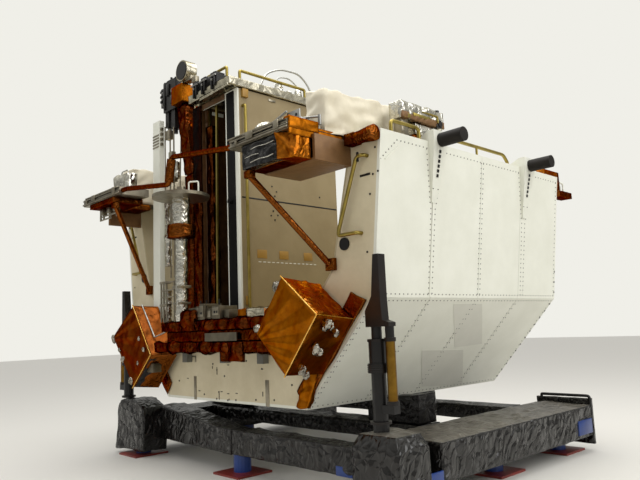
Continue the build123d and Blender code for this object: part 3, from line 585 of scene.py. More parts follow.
# Gold lines along the boxes' edges: tape, bright as painted highlight
small_parts("film_box_edge_highlights", GOLD_TAPE, bars=[
    ([(1514, -566, 1081), (1899, -566, 774), (1524, -566, 327)], 6, 10), ([(1899, -560, 774), (1740, -20, 740)], 4, 1),
    ([(-1365, -306, 1014), (-963, -306, 469), (-1360, -306, 113)], 6, 10)])
small_parts("left_box_rods", WHITE_METAL,
            bars=[([(-1310, -220, 1012), (-1020, -225, 652), (-840, -200, 700)], 8, 12)])
show("foil_lumps", foil_lumps((
    ((1850, -420, 700), 46, 1), ((1790, -330, 690), 34, 2), ((1716, -420, 533), 44, 3), ((1650, -330, 500), 36, 4),
    ((1575, -440, 370), 42, 5), ((1500, -330, 330), 34, 6), ((1760, -250, 640), 30, 7), ((1400, -520, 1000), 40, 8),
    ((1150, -520, 690), 36, 9), ((1165, -420, 640), 30, 10), ((-1850, -290, 660), 40, 11), ((-1620, -290, 420), 38, 12),
    ((-1410, -300, 190), 40, 13), ((-1229, -300, 640), 26, 14), ((-1117, -305, 530), 24, 15),
    ((-1250, -300, 380), 24, 16), ((-1700, -290, 520), 28, 17))), KNOTTED_FOIL, smooth=True)
# Opening in the left box's lower side as a black sheet, painted shade of its inside, with a grey unit
opening = sheet_form([(-1000, -290, 425), (-1330, -290, 128), (-1210, -90, 125), (-885, -90, 425)], 30, 6)
show("left_box_opening", to_mesh(opening), BLACK_FILM)
small_parts("left_box_unit", SHADED_DULL_METAL, boxes=[((-1120, -985), (-262, -165), (282, 378)),
                                                ((-1150, -1110), (-240, -190), (280, 350))])

# Flaps of film on the slopes' plates below the boxes
for name, flip, seed, stands_for in (("right_film_flap", 1, 5, ("film_box_plates",)), ("left_film_flap", -1, 6, ())):
    corners = [(flip * 1125, -14, 24), (flip * 1870, -14, 880), (flip * 1719, -14, 951), (flip * 1042, -14, 155)]
    form = crumple(sheet_form(corners, 16, 16), seed, 0.16, 0.026)
    show(name, to_mesh(form), SHADED_COPPER_FILM, stands_for=stands_for, smooth=True)
tip = block_form([(1060, -60, 30), (1190, -60, 20), (1330, -40, 330), (1180, -40, 330)],
                 [(1060, -18, 30), (1190, -18, 20), (1330, -18, 330), (1180, -18, 330)], 0.013)
show("right_flap_tip", to_mesh(crumple(tip, 9, 0.09, 0.034)), AMBER_FILM, smooth=True)

# Cradle: dark beams wrapped in glossy film, its wrinkles slanting down the sides
WRAPPED_BEAMS = [
    # name, loops of corners, cell, fold size, depth, seed, nodes it stands for
    ("right_beam_wrap", box_corners((1620, 2240), (345, 2900), (-510, -200)), 26, 190, 34, 31, ("cradle_side_beams",)),
    ("right_link_wrap", box_corners((1700, 2100), (180, 345), (-480, -240)), 30, 190, 24, 39, ()),
    ("left_beam_wrap", box_corners((-2010, -1500), (145, 2900), (-510, -200)), 34, 220, 34, 32, ()),
    ("right_pier_wrap", box_corners((1800, 2262), (-185, 180), (-600, -100)), 18, 170, 30, 33, ("cradle_piers",)),
    ("cross_beam_wrap", box_corners((-1500, 1620), (860, 1180), (-350, -200)), 34, 220, 24, 35,
     ("cradle_cross_beams",)),
    ("rear_cross_beam_wrap", box_corners((-1500, 1620), (2300, 2600), (-350, -200)), 60, 260, 24, 36, ()),
    ("front_beam_wrap", box_corners((60, 1800), (-28, 180), (-480, -240)), 20, 170, 34, 37, ("cradle_front_beam",)),
    ("oblique_beam_wrap", ([(-1442, 80, -480), (-78, -28, -480), (-78, -28, -240), (-1442, 80, -110)],
                           [(-1442, 390, -480), (60, 180, -480), (60, 180, -240), (-1442, 390, -110)]),
     22, 180, 30, 38, ()),
    ("front_joint_wrap", box_corners((-85, 64), (-29, 181), (-481, -238)), 18, 150, 20, 45, ()),
    ("right_end_wrap", box_corners((1640, 2240), (2896, 2940), (-595, -140)), 26, 150, 20, 46,
     ("cradle_end_brackets",)),
    ("left_end_wrap", box_corners((-2010, -1500), (2896, 2940), (-595, -140)), 40, 150, 20, 47, ()),
]
# The right beams' upper faces take the paler film: painted light from above
LIT_SIDE = 0.6  # how far up the right beams' normals turn where the film is pale
for name, (front, back), cell, size, depth, seed, stands_for in WRAPPED_BEAMS:
    beam = wrapped_block(name, front, back, PACKING_FILM, cell, size, depth, seed, stands_for, edge=0.3,
                         lean=BEAM_LEAN)
    finish_faces(beam, (PACKING_FILM, LIT_PACKING_FILM if "right" in name else PACKING_FILM),
                 lambda normal: 1 if normal.z > LIT_SIDE else 0)
# The right pier's wrap draws in round the knee jack's foot
NECK_SHARE = 0.24
neck_foot, neck_top = spot(0, 0, -200).z, spot(0, 0, -100).z
pier_middle = spot(2031, -2, 0)
for vert in bpy.data.objects["right_pier_wrap"].data.vertices:
    rise = max(0.0, min(1.0, (vert.co.z - neck_foot) / (neck_top - neck_foot)))
    vert.co.x += (pier_middle.x - vert.co.x) * NECK_SHARE * rise
    vert.co.y += (pier_middle.y - vert.co.y) * NECK_SHARE * rise
# The left pier's wrap is drawn over a rounded top
ROUNDED_HEIGHT, ROUNDED_DROP, ROUNDNESS = 0.20, 0.17, 2.2
pier = block_form(*box_corners((-2070, -1442), (-140, 145), (-600, -45)), 0.022)
middle, half = spot(-1756, 0, -45), 0.314
for vert in pier.verts:
    out = min(1.0, abs(vert.co.x - middle.x) / half)
    if vert.co.z > middle.z - ROUNDED_HEIGHT:
        rise = (vert.co.z - (middle.z - ROUNDED_HEIGHT)) / ROUNDED_HEIGHT
        vert.co.z -= rise * ROUNDED_DROP * (1 - math.sqrt(max(0.0, 1 - out ** ROUNDNESS)))
crumple(pier, 34, 0.17, 0.036, lean=BEAM_LEAN)
show("left_pier_wrap", to_mesh(pier), PACKING_FILM, smooth=True)
small_parts("end_pipe", BLACK_METAL,
    bars=[([(1700, 2905, -150), (1700, 2905, -118), (2225, 2905, -118), (2225, 2905, -300)], 15, 30)])

# Saddles that carry the carrier's chine, wrapped in the same film
for name, flip, seed, stands_for in (("right_saddle_wrap", 1, 41, ("cradle_saddles",)),
                                     ("left_saddle_wrap", -1, 42, ())):
    front = [(flip * 1000, 880, -200), (flip * 1615, 880, -200), (flip * 1615, 880, 70), (flip * 1000, 880, -2)]
    wrapped_block(name, *set_back(front, 260), BLACK_FILM, 22, 130, 26, seed, stands_for, edge=0.4)
for name, flip in (("right_rear_saddle_wrap", 1), ("left_rear_saddle_wrap", -1)):
    wrapped_box(name, sorted((flip * 280, flip * 540)), (2340, 2560), (-200, -4), BLACK_FILM, 30, 160, 16, 43)

# Post wrapped in copper film, with its gold head
wrapped_box("copper_post_lower", (-770, -610), (5, 150), (492, 2400), RUST_FILM, 14, 90, 30, 51,
              ("film_post",), lean=POST_LEAN)
wrapped_block("copper_post_upper",
    *set_back([(-770, 5, 2400), (-610, 5, 2400), (-750, 5, 3240), (-930, 5, 3240)], 145), RUST_FILM, 12, 90, 30, 52,
    lean=POST_LEAN)
wrapped_box("gold_post_head", (-930, -700), (-60, 240), (3240, 3450), AMBER_FILM, 12, 110, 18, 53, ("post_head",))
wrapped_box("copper_bundle", (-472, -350), (90, 180), (760, 2900), RUST_FILM, 14, 90, 34, 54, lean=POST_LEAN)
wrapped_box("jamb_bundle", (-598, -452), (6, 46), (700, 2120), RUST_FILM, 14, 90, 26, 56, lean=POST_LEAN)
wrapped_box("jamb_bundle_top", (-610, -456), (14, 46), (2100, 3130), SHADED_FILM, 16, 110, 22, 57, lean=POST_LEAN)
guide = block_form(*set_back([(-318, 92, 740), (-292, 92, 740), (-246, 92, 3090), (-272, 92, 3090)], 20), 0.2)
show("mouth_guide", to_mesh(guide), GOLD_RAIL)
# Dark film over the enclosure's jamb: painted shade of its mouth
small_parts("jamb_lining", DARK_SHADE_FILM,
    boxes=[((-484, -474), (42, 96), (740, 3130)), ((-476, -34), (42, 49), (3076, 3136))])

# Forward shelves: trays wrapped in film under the latch decks
wrapped_box("right_tray_front", (1150, 1600), (-640, -560), (1960, 2170), BLACK_FILM, 9, 70, 30, 61,
              lean=(0.12, 0.1, 1.0))
# Painted glints: thin bright foil bars along the black front's folds stand for its highlights
small_parts("right_tray_glints", LIT_FOIL, bars=[
    ([(1300, -652, 2106), (1380, -656, 2112), (1480, -652, 2104), (1590, -654, 2108)], 3.5, 30),
    ([(1290, -652, 2000), (1400, -656, 2008), (1500, -652, 2000), (1580, -654, 2006)], 4, 30),
    ([(1220, -652, 2050), (1330, -655, 2056), (1400, -652, 2050)], 3, 20)])
wrapped_block("right_tray_face", [(1590, -636, 1962), (1740, -560, 1962), (1740, -560, 2170), (1590, -636, 2170)],
    [(1590, -402, 1962), (1740, -402, 1962), (1740, -402, 2170), (1590, -402, 2170)], GOLD_FILM, 10, 110, 16, 62,
    ("shelves",))
# An oblique fold runs across that face
FOLD_WIDTH, FOLD_DEPTH = 0.045, 0.030
fold_start, fold_end = spot(1610, 0, 2160), spot(1735, 0, 1990)
fold_way = (fold_end - fold_start).normalized()
for vert in bpy.data.objects["right_tray_face"].data.vertices:
    off = vert.co - fold_start
    off.y = 0
    gap = (off - fold_way * off.dot(fold_way)).length
    if vert.co.y < spot(0, -520, 0).y:
        vert.co.y -= FOLD_DEPTH * max(0.0, 1 - gap / FOLD_WIDTH)
wrapped_box("right_tray_inside", (1155, 1600), (-565, -402), (1962, 2168), SHADED_COPPER_FILM, 24, 130, 14, 66)
wrapped_box("right_tray_neck", (1400, 1700), (-400, -64), (1980, 2170), SHADED_COPPER_FILM, 20, 130, 12, 63)
small_parts("right_tray_bottom", SHADED_BROWN_FILM, boxes=[((1150, 1745), (-400, -2), (1960, 1980))])
wrapped_box("left_tray_wrap", (-1745, -1150), (-640, -290), (2110, 2170), SHADED_COPPER_FILM, 16, 110, 16, 64)
wrapped_box("left_tray_neck", (-1700, -1400), (-290, -64), (2110, 2170), SHADED_COPPER_FILM, 18, 110, 10, 65)
small_parts("shelf_brackets", SHADED_BROWN_FILM, boxes=[(sorted((flip * 1745, flip * 1775)), (-400, 0), (1960, 2170))
                                               for flip in (1, -1)])
wrapped_box("right_deck_strip", (1738, 1748), (-636, -64), (2130, 2225), AMBER_FILM, 12, 90, 5, 67)
wrapped_box("right_deck_box", (1690, 1756), (-636, -330), (2180, 2272), AMBER_FILM, 12, 90, 10, 68)

# Cross beam under the platform: two wrapped bundles, the box between them and a lower pocket of film
for name, x, y, z, size, depth, seed, stands_for in (
        ("bundle_beam_top", (-700, 1020), (-340, -70), (690, 800), 120, 44, 71, ("cross_beam",)),
        ("bundle_beam_middle", (-600, 1060), (-318, -64), (590, 700), 140, 20, 73, ()),
        ("bundle_beam_bottom", (-840, 1080), (-340, -70), (490, 600), 110, 44, 72, ()),
        ("bundle_left", (-330, -60), (-352, -120), (700, 900), 110, 50, 74, ()),
        ("hanging_pocket", (360, 700), (-352, -300), (408, 590), 90, 40, 75, ())):
    wrapped_box(name, x, y, z, RUST_FILM, 15, size, depth, seed, stands_for)

# Caps of copper film at the arms' top corners: a clamp block and a drum that widens outwards
DRUM_SIDES, DRUM_Y, DRUM_Z = 36, -68, 2153
# The drum's outline as (x, radius)
DRUM_PROFILE = [(1880, 30), (1890, 48), (1960, 52), (2060, 64), (2100, 62), (2108, 46)]
for name, flip, stands_for in (("right_arm_cap", 1, ("arm_caps",)), ("left_arm_cap", -1, ())):
    wrapped_box(name, sorted((flip * 1790, flip * 1900)), (-95, 0), (2110, 2205), SHADED_COPPER_FILM, 9, 60, 10, 81 + flip,
                stands_for)
    form = bmesh.new()
    angles = [2 * math.pi * k / DRUM_SIDES for k in range(DRUM_SIDES)]
    rings = [[form.verts.new(spot(flip * x, DRUM_Y + radius * math.cos(angle), DRUM_Z + radius * math.sin(angle)))
              for angle in angles] for x, radius in DRUM_PROFILE]
    skin(form, rings)
    form.faces.new(rings[0])
    form.faces.new(rings[-1])
    bmesh.ops.subdivide_edges(form, edges=form.edges[:], cuts=2, use_grid_fill=True)
    show(name + "_drum", to_mesh(crumple(form, 83, 0.05, 0.008)), SHADED_COPPER_FILM, smooth=True)

# Equipment on the right sill: a body in silver foil on two posts
wrapped_box("sill_unit_wrap", (1855, 1995), (400, 1010), (2400, 2560), LIT_FOIL, 10, 80, 26, 91)
wrapped_box("sill_unit_band", (1940, 2003), (405, 1004), (2402, 2466), SHADED_BROWN_FILM, 12, 60, 16, 94)
small_parts("sill_unit_posts", GREY_METAL, stands_for=("sill_fittings",),
            boxes=[((1850, 2000), (400, 550), (2200, 2230)), ((1850, 2000), (830, 980), (2200, 2230)),
                   ((1880, 1970), (430, 520), (2230, 2404)), ((1880, 1970), (860, 950), (2230, 2404)),
                   ((1510, 1850), (60, 600), (2200, 2230)), ((-1850, -1510), (60, 600), (2200, 2230))])
small_parts("sill_unit_gold", GOLD_RAIL,
    boxes=[((1990, 2004), (560, 800), (2440, 2470)), ((1990, 2002), (430, 520), (2410, 2450))],
    bars=[([(2000, 700, 2500), (2004, 900, 2500), (2004, 900, 2440)], 8, 12)])
small_parts("sill_unit_black", BLACK_METAL, boxes=[((1960, 2006), (880, 960), (2400, 2430))],
            rods=[((1950, 964, 2556), (1950, 964, 2580), 24), ((1996, 930, 2440), (2012, 930, 2440), 30)])
wrapped_box("sill_unit_film", (1700, 1980), (560, 820), (2202, 2290), SHADED_COPPER_FILM, 14, 90, 20, 92)
wrapped_box("sill_unit_foil", (1800, 1985), (600, 860), (2290, 2398), LIT_FOIL, 13, 90, 24, 93)

# Rear bracket: gold film over copper film, with a white handle
wrapped_box("rear_bracket_side", (2000, 2095), (2620, 2960), (2202, 2262), GOLD_FILM, 10, 80, 12, 85)
wrapped_box("rear_bracket_back", (2000, 2095), (2902, 2960), (1990, 2262), SHADED_COPPER_FILM, 11, 80, 12, 86,
    ("rear_bracket",))
wrapped_box("rear_bracket_shelf", (1980, 2110), (2902, 3200), (1990, 2060), SHADED_COPPER_FILM, 11, 80, 12, 87)
small_parts("rear_handle", WHITE_PAINT, bars=[([(2045, 2962, 2170), (2045, 3060, 2170), (2045, 3060, 2062)], 9, 25),
                                              ([(2090, 2962, 2150), (2090, 3040, 2150), (2090, 3040, 2062)], 9, 25)])


# Handrails, struts and the link tube as round bars
RAIL = 16
sill_bars, arm_bars = [], []
for flip in (1, -1):
    x = flip * 2057
    sill_bars += [([(x, 850, 2200), (x, 850, 2297), (x, 1883, 2297), (x, 1950, 2230), (x, 1950, 2200)], RAIL, 40),
                  ([(x, 1410, 2200), (x, 1410, 2290)], RAIL * 0.7, 1),
                  ([(x, 180, 2200), (x, 180, 2310), (x, 540, 2310), (x, 540, 2200)], RAIL, 40)]
    arm_points = ((1950, 0, 2010), (1950, -60, 2010), (1885, -60, 2005), (1655, -60, 1450), (1650, -60, 1405),
                  (1850, -60, 1405), (1850, 0, 1405))
    arm_bars.append(([(flip * across, y, z) for across, y, z in arm_points], RAIL, 40))
small_parts("sill_rail_bars", GOLD_RAIL, bars=sill_bars, stands_for=("sill_handrails",))
small_parts("arm_rail_bars", GOLD_RAIL, bars=arm_bars, stands_for=("arm_handrails",))
LID_TOP = 3236
small_parts("lid_rail_bars", GOLD_RAIL, body="lid", stands_for=("lid_handrails",), bars=[
    ([(150, 110, LID_TOP), (150, 110, LID_TOP + 110), (150, 1010, LID_TOP + 110), (150, 1010, LID_TOP)], RAIL, 22),
    ([(-420, 100, LID_TOP), (-420, 100, LID_TOP + 220), (-60, 100, LID_TOP + 220), (-60, 100, LID_TOP)], RAIL, 22)])
small_parts("enclosure_rail_bars", GOLD_RAIL, stands_for=("enclosure_rails",),
            boxes=[((-480, -456), (138, 162), (730, 3120)), ((-480, -456), (1108, 1132), (730, 3120))],
            bars=[([(180, 115, 2960), (225, 115, 2960), (225, 115, 830), (180, 115, 830)], RAIL, 24)])
link_points = [(1000, -600, 2212), (930, -600, 2212), (0, -600, 2345), (-60, -600, 2090), (-930, -600, 2212),
               (-1000, -600, 2212)]
form = joined([bar_form(link_points, 25, 45, 20), rod_form((-5, -600, 2325), (-55, -600, 2110), 42, 28)])
smooth_by_angle(show("link_tube_wrap", to_mesh(form), SHADED_COPPER_FILM, stands_for=("link_tube",)))
struts = [([(1195, -590, 1920), (1500, -25, 1190)], 26, 1), ([(-1195, -590, 2070), (-1500, -25, 1190)], 26, 1)]
pads = []
for flip, top in ((1, 1960), (-1, 2110)):
    pads.append((sorted((flip * 1155, flip * 1235)), (-620, -560), (top - 60, top)))
    pads.append((sorted((flip * 1460, flip * 1560)), (-40, 0), (1140, 1240)))
small_parts("strut_wraps", SHADED_COPPER_FILM, boxes=pads, bars=struts, stands_for=("shelf_struts",))

# Foil round the platform's stem, its copper band and the small hardware at its foot
stem = joined([rod_form((-320, -310, 800), (-320, -310, 1760), 62, 40),
               rod_form((-320, -310, 1755), (-320, -310, 2030), 92, 40)])
band = rod_form((-320, -310, 1630), (-320, -310, 1755), 140, 48)
for name, form, cuts, seed, size, depth, finish, stands_for in (
        ("stem_foil", stem, 60, 95, 0.07, 0.014, LIT_FOIL, "platform_stem"),
        ("stem_band_wrap", band, 10, 96, 0.08, 0.016, SHADED_COPPER_FILM, "stem_band")):
    upright = [edge for edge in form.edges if abs(edge.verts[0].co.z - edge.verts[1].co.z) > 0.1]
    bmesh.ops.subdivide_edges(form, edges=upright, cuts=cuts)
    show(name, to_mesh(crumple(form, seed, size, depth)), finish, stands_for=(stands_for,), smooth=True)
small_parts("stem_hardware", GREY_METAL,
    boxes=[((-400, -240), (-372, -250), (1120, 1150)), ((-395, -245), (-370, -250), (960, 985)),
        ((-700, -560), (-345, -290), (1190, 1215)), ((-700, -560), (-345, -290), (960, 985))],
    rods=[((x, -330, 800), (x, -330, 1210), 9) for x in (-690, -640, -580, -430)]
    + [((-690, -330, z), (-430, -330, z), 7) for z in (1050, 1120, 1200)])
small_parts("platform_loop", WHITE_PAINT,
    bars=[([(-140, -330, 2062), (-140, -330, 2165), (-60, -270, 2165), (-60, -270, 2062)], 8, 18)])
small_parts("platform_hub", GREY_METAL,
    boxes=[((-420, -300), (-480, -330), (2062, 2085)), ((-520, -440), (-420, -300), (2062, 2100))],
    rods=[((-320, -310, 2062), (-320, -310, 2120), 70), ((-320, -310, 2120), (-320, -310, 2150), 42)])


# Lid: thin slab wrapped in foil, with its hinge lugs
wrapped_box("lid_wrap", (-550, 210), (-70, 1460), (3146, 3236), SILVER_FOIL, 14, 120, 12, 101,
              ("enclosure_lid",), "lid")
small_parts("lid_lugs", GREY_METAL, body="lid",
            boxes=[((x - 30, x + 30), (1448, 1490), (3163, 3199)) for x in (-370, 30)],
            rods=[((x - 30, 1490, 3171), (x + 30, 1490, 3171), 28) for x in (-370, 30)])
small_parts("lid_conduit", WHITE_METAL, body="lid", bars=[
    ([(75, 420, 3236), (75, 509, 3440), (75, 724, 3545), (75, 1000, 3560), (75, 1155, 3440), (75, 1220, 3236)],
     11, 90),
    ([(20, 640, 3236), (20, 720, 3470), (20, 900, 3500), (20, 1060, 3400), (20, 1110, 3236)], 8, 70)])
show("lid_foil_lumps", foil_lumps((
    ((60, 560, 3262), 50, 201), ((70, 700, 3300), 62, 202), ((40, 850, 3290), 56, 203), ((80, 980, 3310), 60, 204),
    ((60, 1120, 3270), 48, 205), ((-150, 300, 3262), 44, 206), ((-330, 260, 3258), 38, 207))), LIT_FOIL, "lid")
CLAMPS = (-400, -240, -60)  # x of the lid's front clamps
small_parts("lid_front_clamps", BLACK_METAL, body="lid",
            boxes=[((x - 48, x + 48), (-78, 40), (3300, 3350)) for x in CLAMPS]
            + [((x - 30, x - 8), (-92, -66), (3170, 3330)) for x in CLAMPS]
            + [((x + 14, x + 40), (-88, -66), (3200, 3345)) for x in CLAMPS])
small_parts("lid_front_pins", STEEL, body="lid",
            rods=[((x, -100, 3265), (x, 70, 3265), 12) for x in CLAMPS]
            + [((x - 60, -86, 3310), (x + 60, -86, 3310), 9) for x in CLAMPS])
wrapped_block("lid_front_foil", [(-330, -75, 3110), (190, -75, 3130), (190, -75, 3160), (-330, -75, 3160)],
              [(-330, -20, 3143), (190, -20, 3143), (190, -20, 3160), (-330, -20, 3160)], SILVER_FOIL, 12, 90, 12, 102,
              body="lid")

# Signal drum on the post head: dark face in a pale ring
small_parts("drum_face", BLACK_METAL, rods=[((-701, -66, 3584), (-701, -58, 3584), 104)])
small_parts("head_fittings", GREY_METAL,
    boxes=[((-690, -560), (-30, 40), (3450, 3500)), ((-560, -480), (-20, 30), (3400, 3470))],
    rods=[((-640, -20, 3500), (-640, -20, 3556), 26)])

# Control boxes' small fittings, and what hangs between the white column and the post
small_parts("control_fittings", BLACK_METAL,
            boxes=[((-1300, -1262), (10, 80), (3390 + step, 3420 + step)) for step in (0, 60, 120)]
            + [((-1180, -1150), (-14, 0), (3270, 3580)), ((-1120, -1060), (-18, 0), (3420, 3560)),
               ((-1020, -950), (-22, 0), (3300, 3400)), ((-1160, -1040), (20, 90), (3600, 3625))],
            rods=[((-1250, 50, 3560), (-1250, 50, 3640), 12), ((-1100, 50, 3620), (-1100, 50, 3660), 14),
                  ((-1010, 50, 3600), (-1010, 50, 3640), 10), ((-1155, 55, 3010), (-1155, 55, 3062), 22),
                  ((-1020, 55, 2960), (-1020, 55, 3012), 26)])
small_parts("control_pins", STEEL,
    rods=[((-1225, 16, 3350 + step), (-1225, -6, 3350 + step), 14) for step in (0, 70, 140)]
    + [((-970, -8, 3450), (-970, -26, 3450), 26)])
small_parts("column_brackets", GREY_METAL,
            boxes=[((-1190, -1168), (-55, -20), (z, z + 34)) for z in (2840, 2900, 2960, 3020)]
            + [((-1120, -1040), (-20, 30), (2890, 3000)), ((-1080, -1000), (-10, 40), (2660, 2740)),
               ((-1040, -960), (-10, 40), (2380, 2440))],
            rods=[((x, 20, 1300), (x, 20, 3030), 9) for x in (-1090, -1010)]
            + [((-900, 30, 2260), (-860, 30, 3100), 7), ((-1150, -10, 2300), (-1150, -10, 3060), 8)])
small_parts("column_patch", GREY_METAL,
    boxes=[((-1342, -1200), (-64, -60), (2825 + 34 * k, 2843 + 34 * k)) for k in range(5)])
for name, x, y, z, seed in (("column_foil_top", (-1060, -930), (10, 70), (2420, 2620), 111),
                            ("column_foil_middle", (-1160, -1080), (-30, 40), (1420, 2300), 112),
                            ("column_foil_low", (-1150, -1070), (-40, 30), (700, 1180), 113)):
    wrapped_box(name, x, y, z, LIT_FOIL, 13, 80, 34, seed)
small_parts("post_strip", LINING_PAINT, boxes=[((-604, -592), (40, 52), (700, 3180))])

# Lining of dark film inside the enclosure, its darkness painted shade, with white spots as painted light where its top
# lets light in
for name, corners, seed in (
        ("enclosure_lining_left", [(-474, 95, 735), (-474, 1376, 735), (-474, 1376, 3128), (-474, 95, 3128)], 121),
        ("enclosure_lining_back", [(-474, 1374, 735), (134, 1374, 735), (134, 1374, 3128), (-474, 1374, 3128)], 122),
        ("enclosure_lining_right", [(134, 1376, 735), (134, 95, 735), (134, 95, 3128), (134, 1376, 3128)], 123)):
    form = crumple(sheet_form(corners, 40, 4), seed, 0.30, 0.012)
    show(name, to_mesh(form), DARK_SHADE_FILM, smooth=True)
small_parts("enclosure_painted_light_spots", WHITE_PAINT,
            boxes=[((-468, -464), (y, y + 150), (3050, 3092)) for y in (180, 420, 680, 980)])
small_parts("enclosure_inner_plate", DARK_SHADE_FILM, boxes=[((-300, -120), (1100, 1110), (1500, 2900))])

# Enclosure's right side: seam, squares of gold tape, dashed line, top bracket, block and marks without words
SIDE = 180
small_parts("side_seam", BLACK_METAL, boxes=[((SIDE, SIDE + 2), (82, 1410), (1998, 2012))])
small_parts("side_squares", GOLD_TAPE_MATT, boxes=[((SIDE, SIDE + 3), (y - 62, y + 62), (1400, 1486))
                                                   for y in (318, 606, 945)])
small_parts("side_dashes", WHITE_PAINT, boxes=[((SIDE, SIDE + 2), (270 + 58 * k, 305 + 58 * k), (1358, 1366))
                                               for k in range(14)])
small_parts("side_mark", GREY_METAL, boxes=[((SIDE, SIDE + 8), (454, 549), (3084, 3110))])
small_parts("side_bracket", GOLD_TAPE_MATT, boxes=[((SIDE, SIDE + 30), (100, 172), (3050, 3138)),
                                                   ((SIDE, SIDE + 26), (100, 150), (930, 1020))])

# Latch decks: layered plates, rods and a silver dome
DECKS = ((1000, 1740), (-1900, -1000))  # from x to x
for name, x, y, z in (("deck_plate_one", (980, 1500), (-655, -330), (2250, 2262)),
                      ("deck_plate_two", (1060, 1560), (-600, -320), (2268, 2280)),
                      ("deck_plate_three", (-1850, -1080), (-650, -330), (2250, 2262)),
                      ("deck_plate_four", (-1760, -1180), (-600, -320), (2270, 2284))):
    small_parts(name, GREY_METAL, boxes=[(x, y, z)])
small_parts("deck_ribs", GREY_METAL,
            boxes=[((x0, x1), (-650 - out, -640), (z, z + tall)) for low, high in DECKS
                   for x0, x1, out, z, tall in (
                       (low, high, 6, 2178, 16), (low + 60, high, 0, 2202, 10), (low + 20, high - 160, 10, 2222, 12),
                       (low + 190, high - 40, 4, 2242, 18), (low + 240, low + 330, 14, 2196, 62),
                       (high - 150, high - 90, 12, 2190, 70), (low + 90, low + 120, 12, 2184, 40))])
small_parts("deck_shadow_gaps", BLACK_METAL,
            boxes=[((low + 30, high - 20), (-646, -640), (z, z + 7)) for low, high in DECKS
                   for z in (2195, 2213, 2235)])
small_parts("deck_hardware", STEEL,
            boxes=[((1530, 1680), (-460, -448), (2262, 2380)), ((1640, 1652), (-450, -330), (2262, 2330)),
                   ((1430, 1520), (-520, -470), (2262, 2300)), ((-1700, -1560), (-480, -440), (2262, 2310)),
                   ((-1480, -1380), (-560, -500), (2262, 2300)), ((-1300, -1220), (-420, -380), (2262, 2310))],
            rods=[((1320, -470, 2330), (1540, -470, 2390), 10), ((1540, -440, 2330), (1735, -300, 2330), 9),
                  ((1735, -300, 2262), (1735, -300, 2345), 14), ((1120, -560, 2290), (1420, -430, 2290), 12),
                  ((-1800, -500, 2300), (-1320, -500, 2300), 9), ((-1750, -380, 2330), (-1500, -380, 2330), 8)])
# Black discs for holes in the deck hardware: painted shade of their openings
small_parts("deck_holes", BLACK_METAL, rods=[((x, -462, 2340), (x, -446, 2340), 13) for x in (1570, 1640)])
show("deck_foil", foil_lumps((
    ((1240, -450, 2330), 78, 301, 0.9), ((1320, -400, 2315), 60, 302), ((1170, -430, 2300), 48, 303),
    ((-1660, -330, 2330), 96, 304), ((-1560, -330, 2300), 70, 305))), LIT_FOIL)
wrapped_box("left_deck_foil", (-1580, -1240), (-440, -300), (2258, 2490), LIT_FOIL, 14, 110, 44, 306)
small_parts("left_deck_handle", WHITE_METAL,
    bars=[([(-1500, -370, 2440), (-1500, -370, 2540), (-1340, -370, 2540), (-1340, -370, 2440)], 8, 30)])
small_parts("left_deck_underside", GREY_METAL,
            boxes=[((x, x + 60), (-560, -500), (2040, 2108)) for x in (-1640, -1480, -1330)]
            + [((-1700, -1260), (-540, -520), (2020, 2034))],
            rods=[((x, -530, 1985), (x, -530, 2108), 11) for x in (-1690, -1610, -1440, -1290)]
            + [((-1700, -530, 1990), (-1430, -530, 1990), 9)])
# Dark strip for holes along the tray's side: painted shade of their openings
small_parts("right_tray_holes", BROWN_METAL, boxes=[((1748, 1750), (-600, -120), (2198, 2204))])

# Grey units on the cross beam and the copper sleeve beside them
small_parts("beam_units", SHADED_DULL_METAL,
            boxes=[((-90, -20), (-300, -130), (800, 930)), ((0, 90), (-320, -120), (800, 950)),
                   ((110, 180), (-300, -140), (800, 900)), ((200, 330), (-310, -110), (800, 920)),
                   ((350, 430), (-280, -160), (800, 880)), ((520, 640), (-220, -90), (700, 820)),
                   ((700, 790), (-240, -120), (690, 760))])
small_parts("beam_unit_plates", GREY_METAL,
            boxes=[((-84, -28), (-306, -300), (830, 915)), ((12, 76), (-326, -320), (830, 930)),
                   ((215, 315), (-316, -310), (835, 905)), ((120, 170), (-306, -300), (820, 880))])
# Black marks for the units' holes, painted shade of their openings, and short black rods
small_parts("beam_unit_holes", BLACK_METAL,
            boxes=[((240, 262), (-320, -316), (852, 874)), ((282, 300), (-320, -316), (852, 874)),
                   ((30, 58), (-330, -326), (850, 870)), ((-70, -44), (-310, -306), (850, 880))],
            rods=[((x, -260, 930), (x, -260, 985), 8) for x in (-60, 40, 250)])
show("beam_foil", foil_lumps((
    ((860, -230, 800), 70, 311), ((760, -230, 830), 52, 312), ((940, -240, 720), 58, 313))), KNOTTED_FOIL, smooth=True)
wrapped_box("beam_side_film", (560, 690), (-290, -110), (780, 880), AMBER_FILM, 14, 90, 30, 314)
wrapped_box("beam_side_foil", (700, 960), (-300, -150), (780, 880), SILVER_FOIL, 14, 90, 44, 315)

# Front web: blank grey strips, bracket marks and fasteners
small_parts("web_strips", GREY_METAL, boxes=[((-607, -563), (-4, 0), (0, 235)), ((580, 632), (-4, 0), (0, 232))])
# Black marks for the web's slots: painted shade of their openings
small_parts("web_slots", BLACK_METAL,
            boxes=[((x - 5, x + 5), (-3, 0), (low, high)) for x, low, high in (
                (-188, 262, 334), (-157, 20, 95), (538, 84, 126), (-267, 318, 342), (10, 22, 38))]
            + [((x - 16, x + 16), (-3, 0), (z - 4, z + 4)) for x, z in (
                (7, 358), (-2, 85), (-510, 91), (-731, 210), (135, 94), (-114, 99), (537, 328))])
small_parts("web_brackets", GREY_METAL,
            boxes=[((x, x + 120), (-6, 0), (430, 444)) for x in (-684, 510)]
            + [((x, x + 18), (-6, 0), (380, 444)) for x in (-684, -582, 510, 612)])
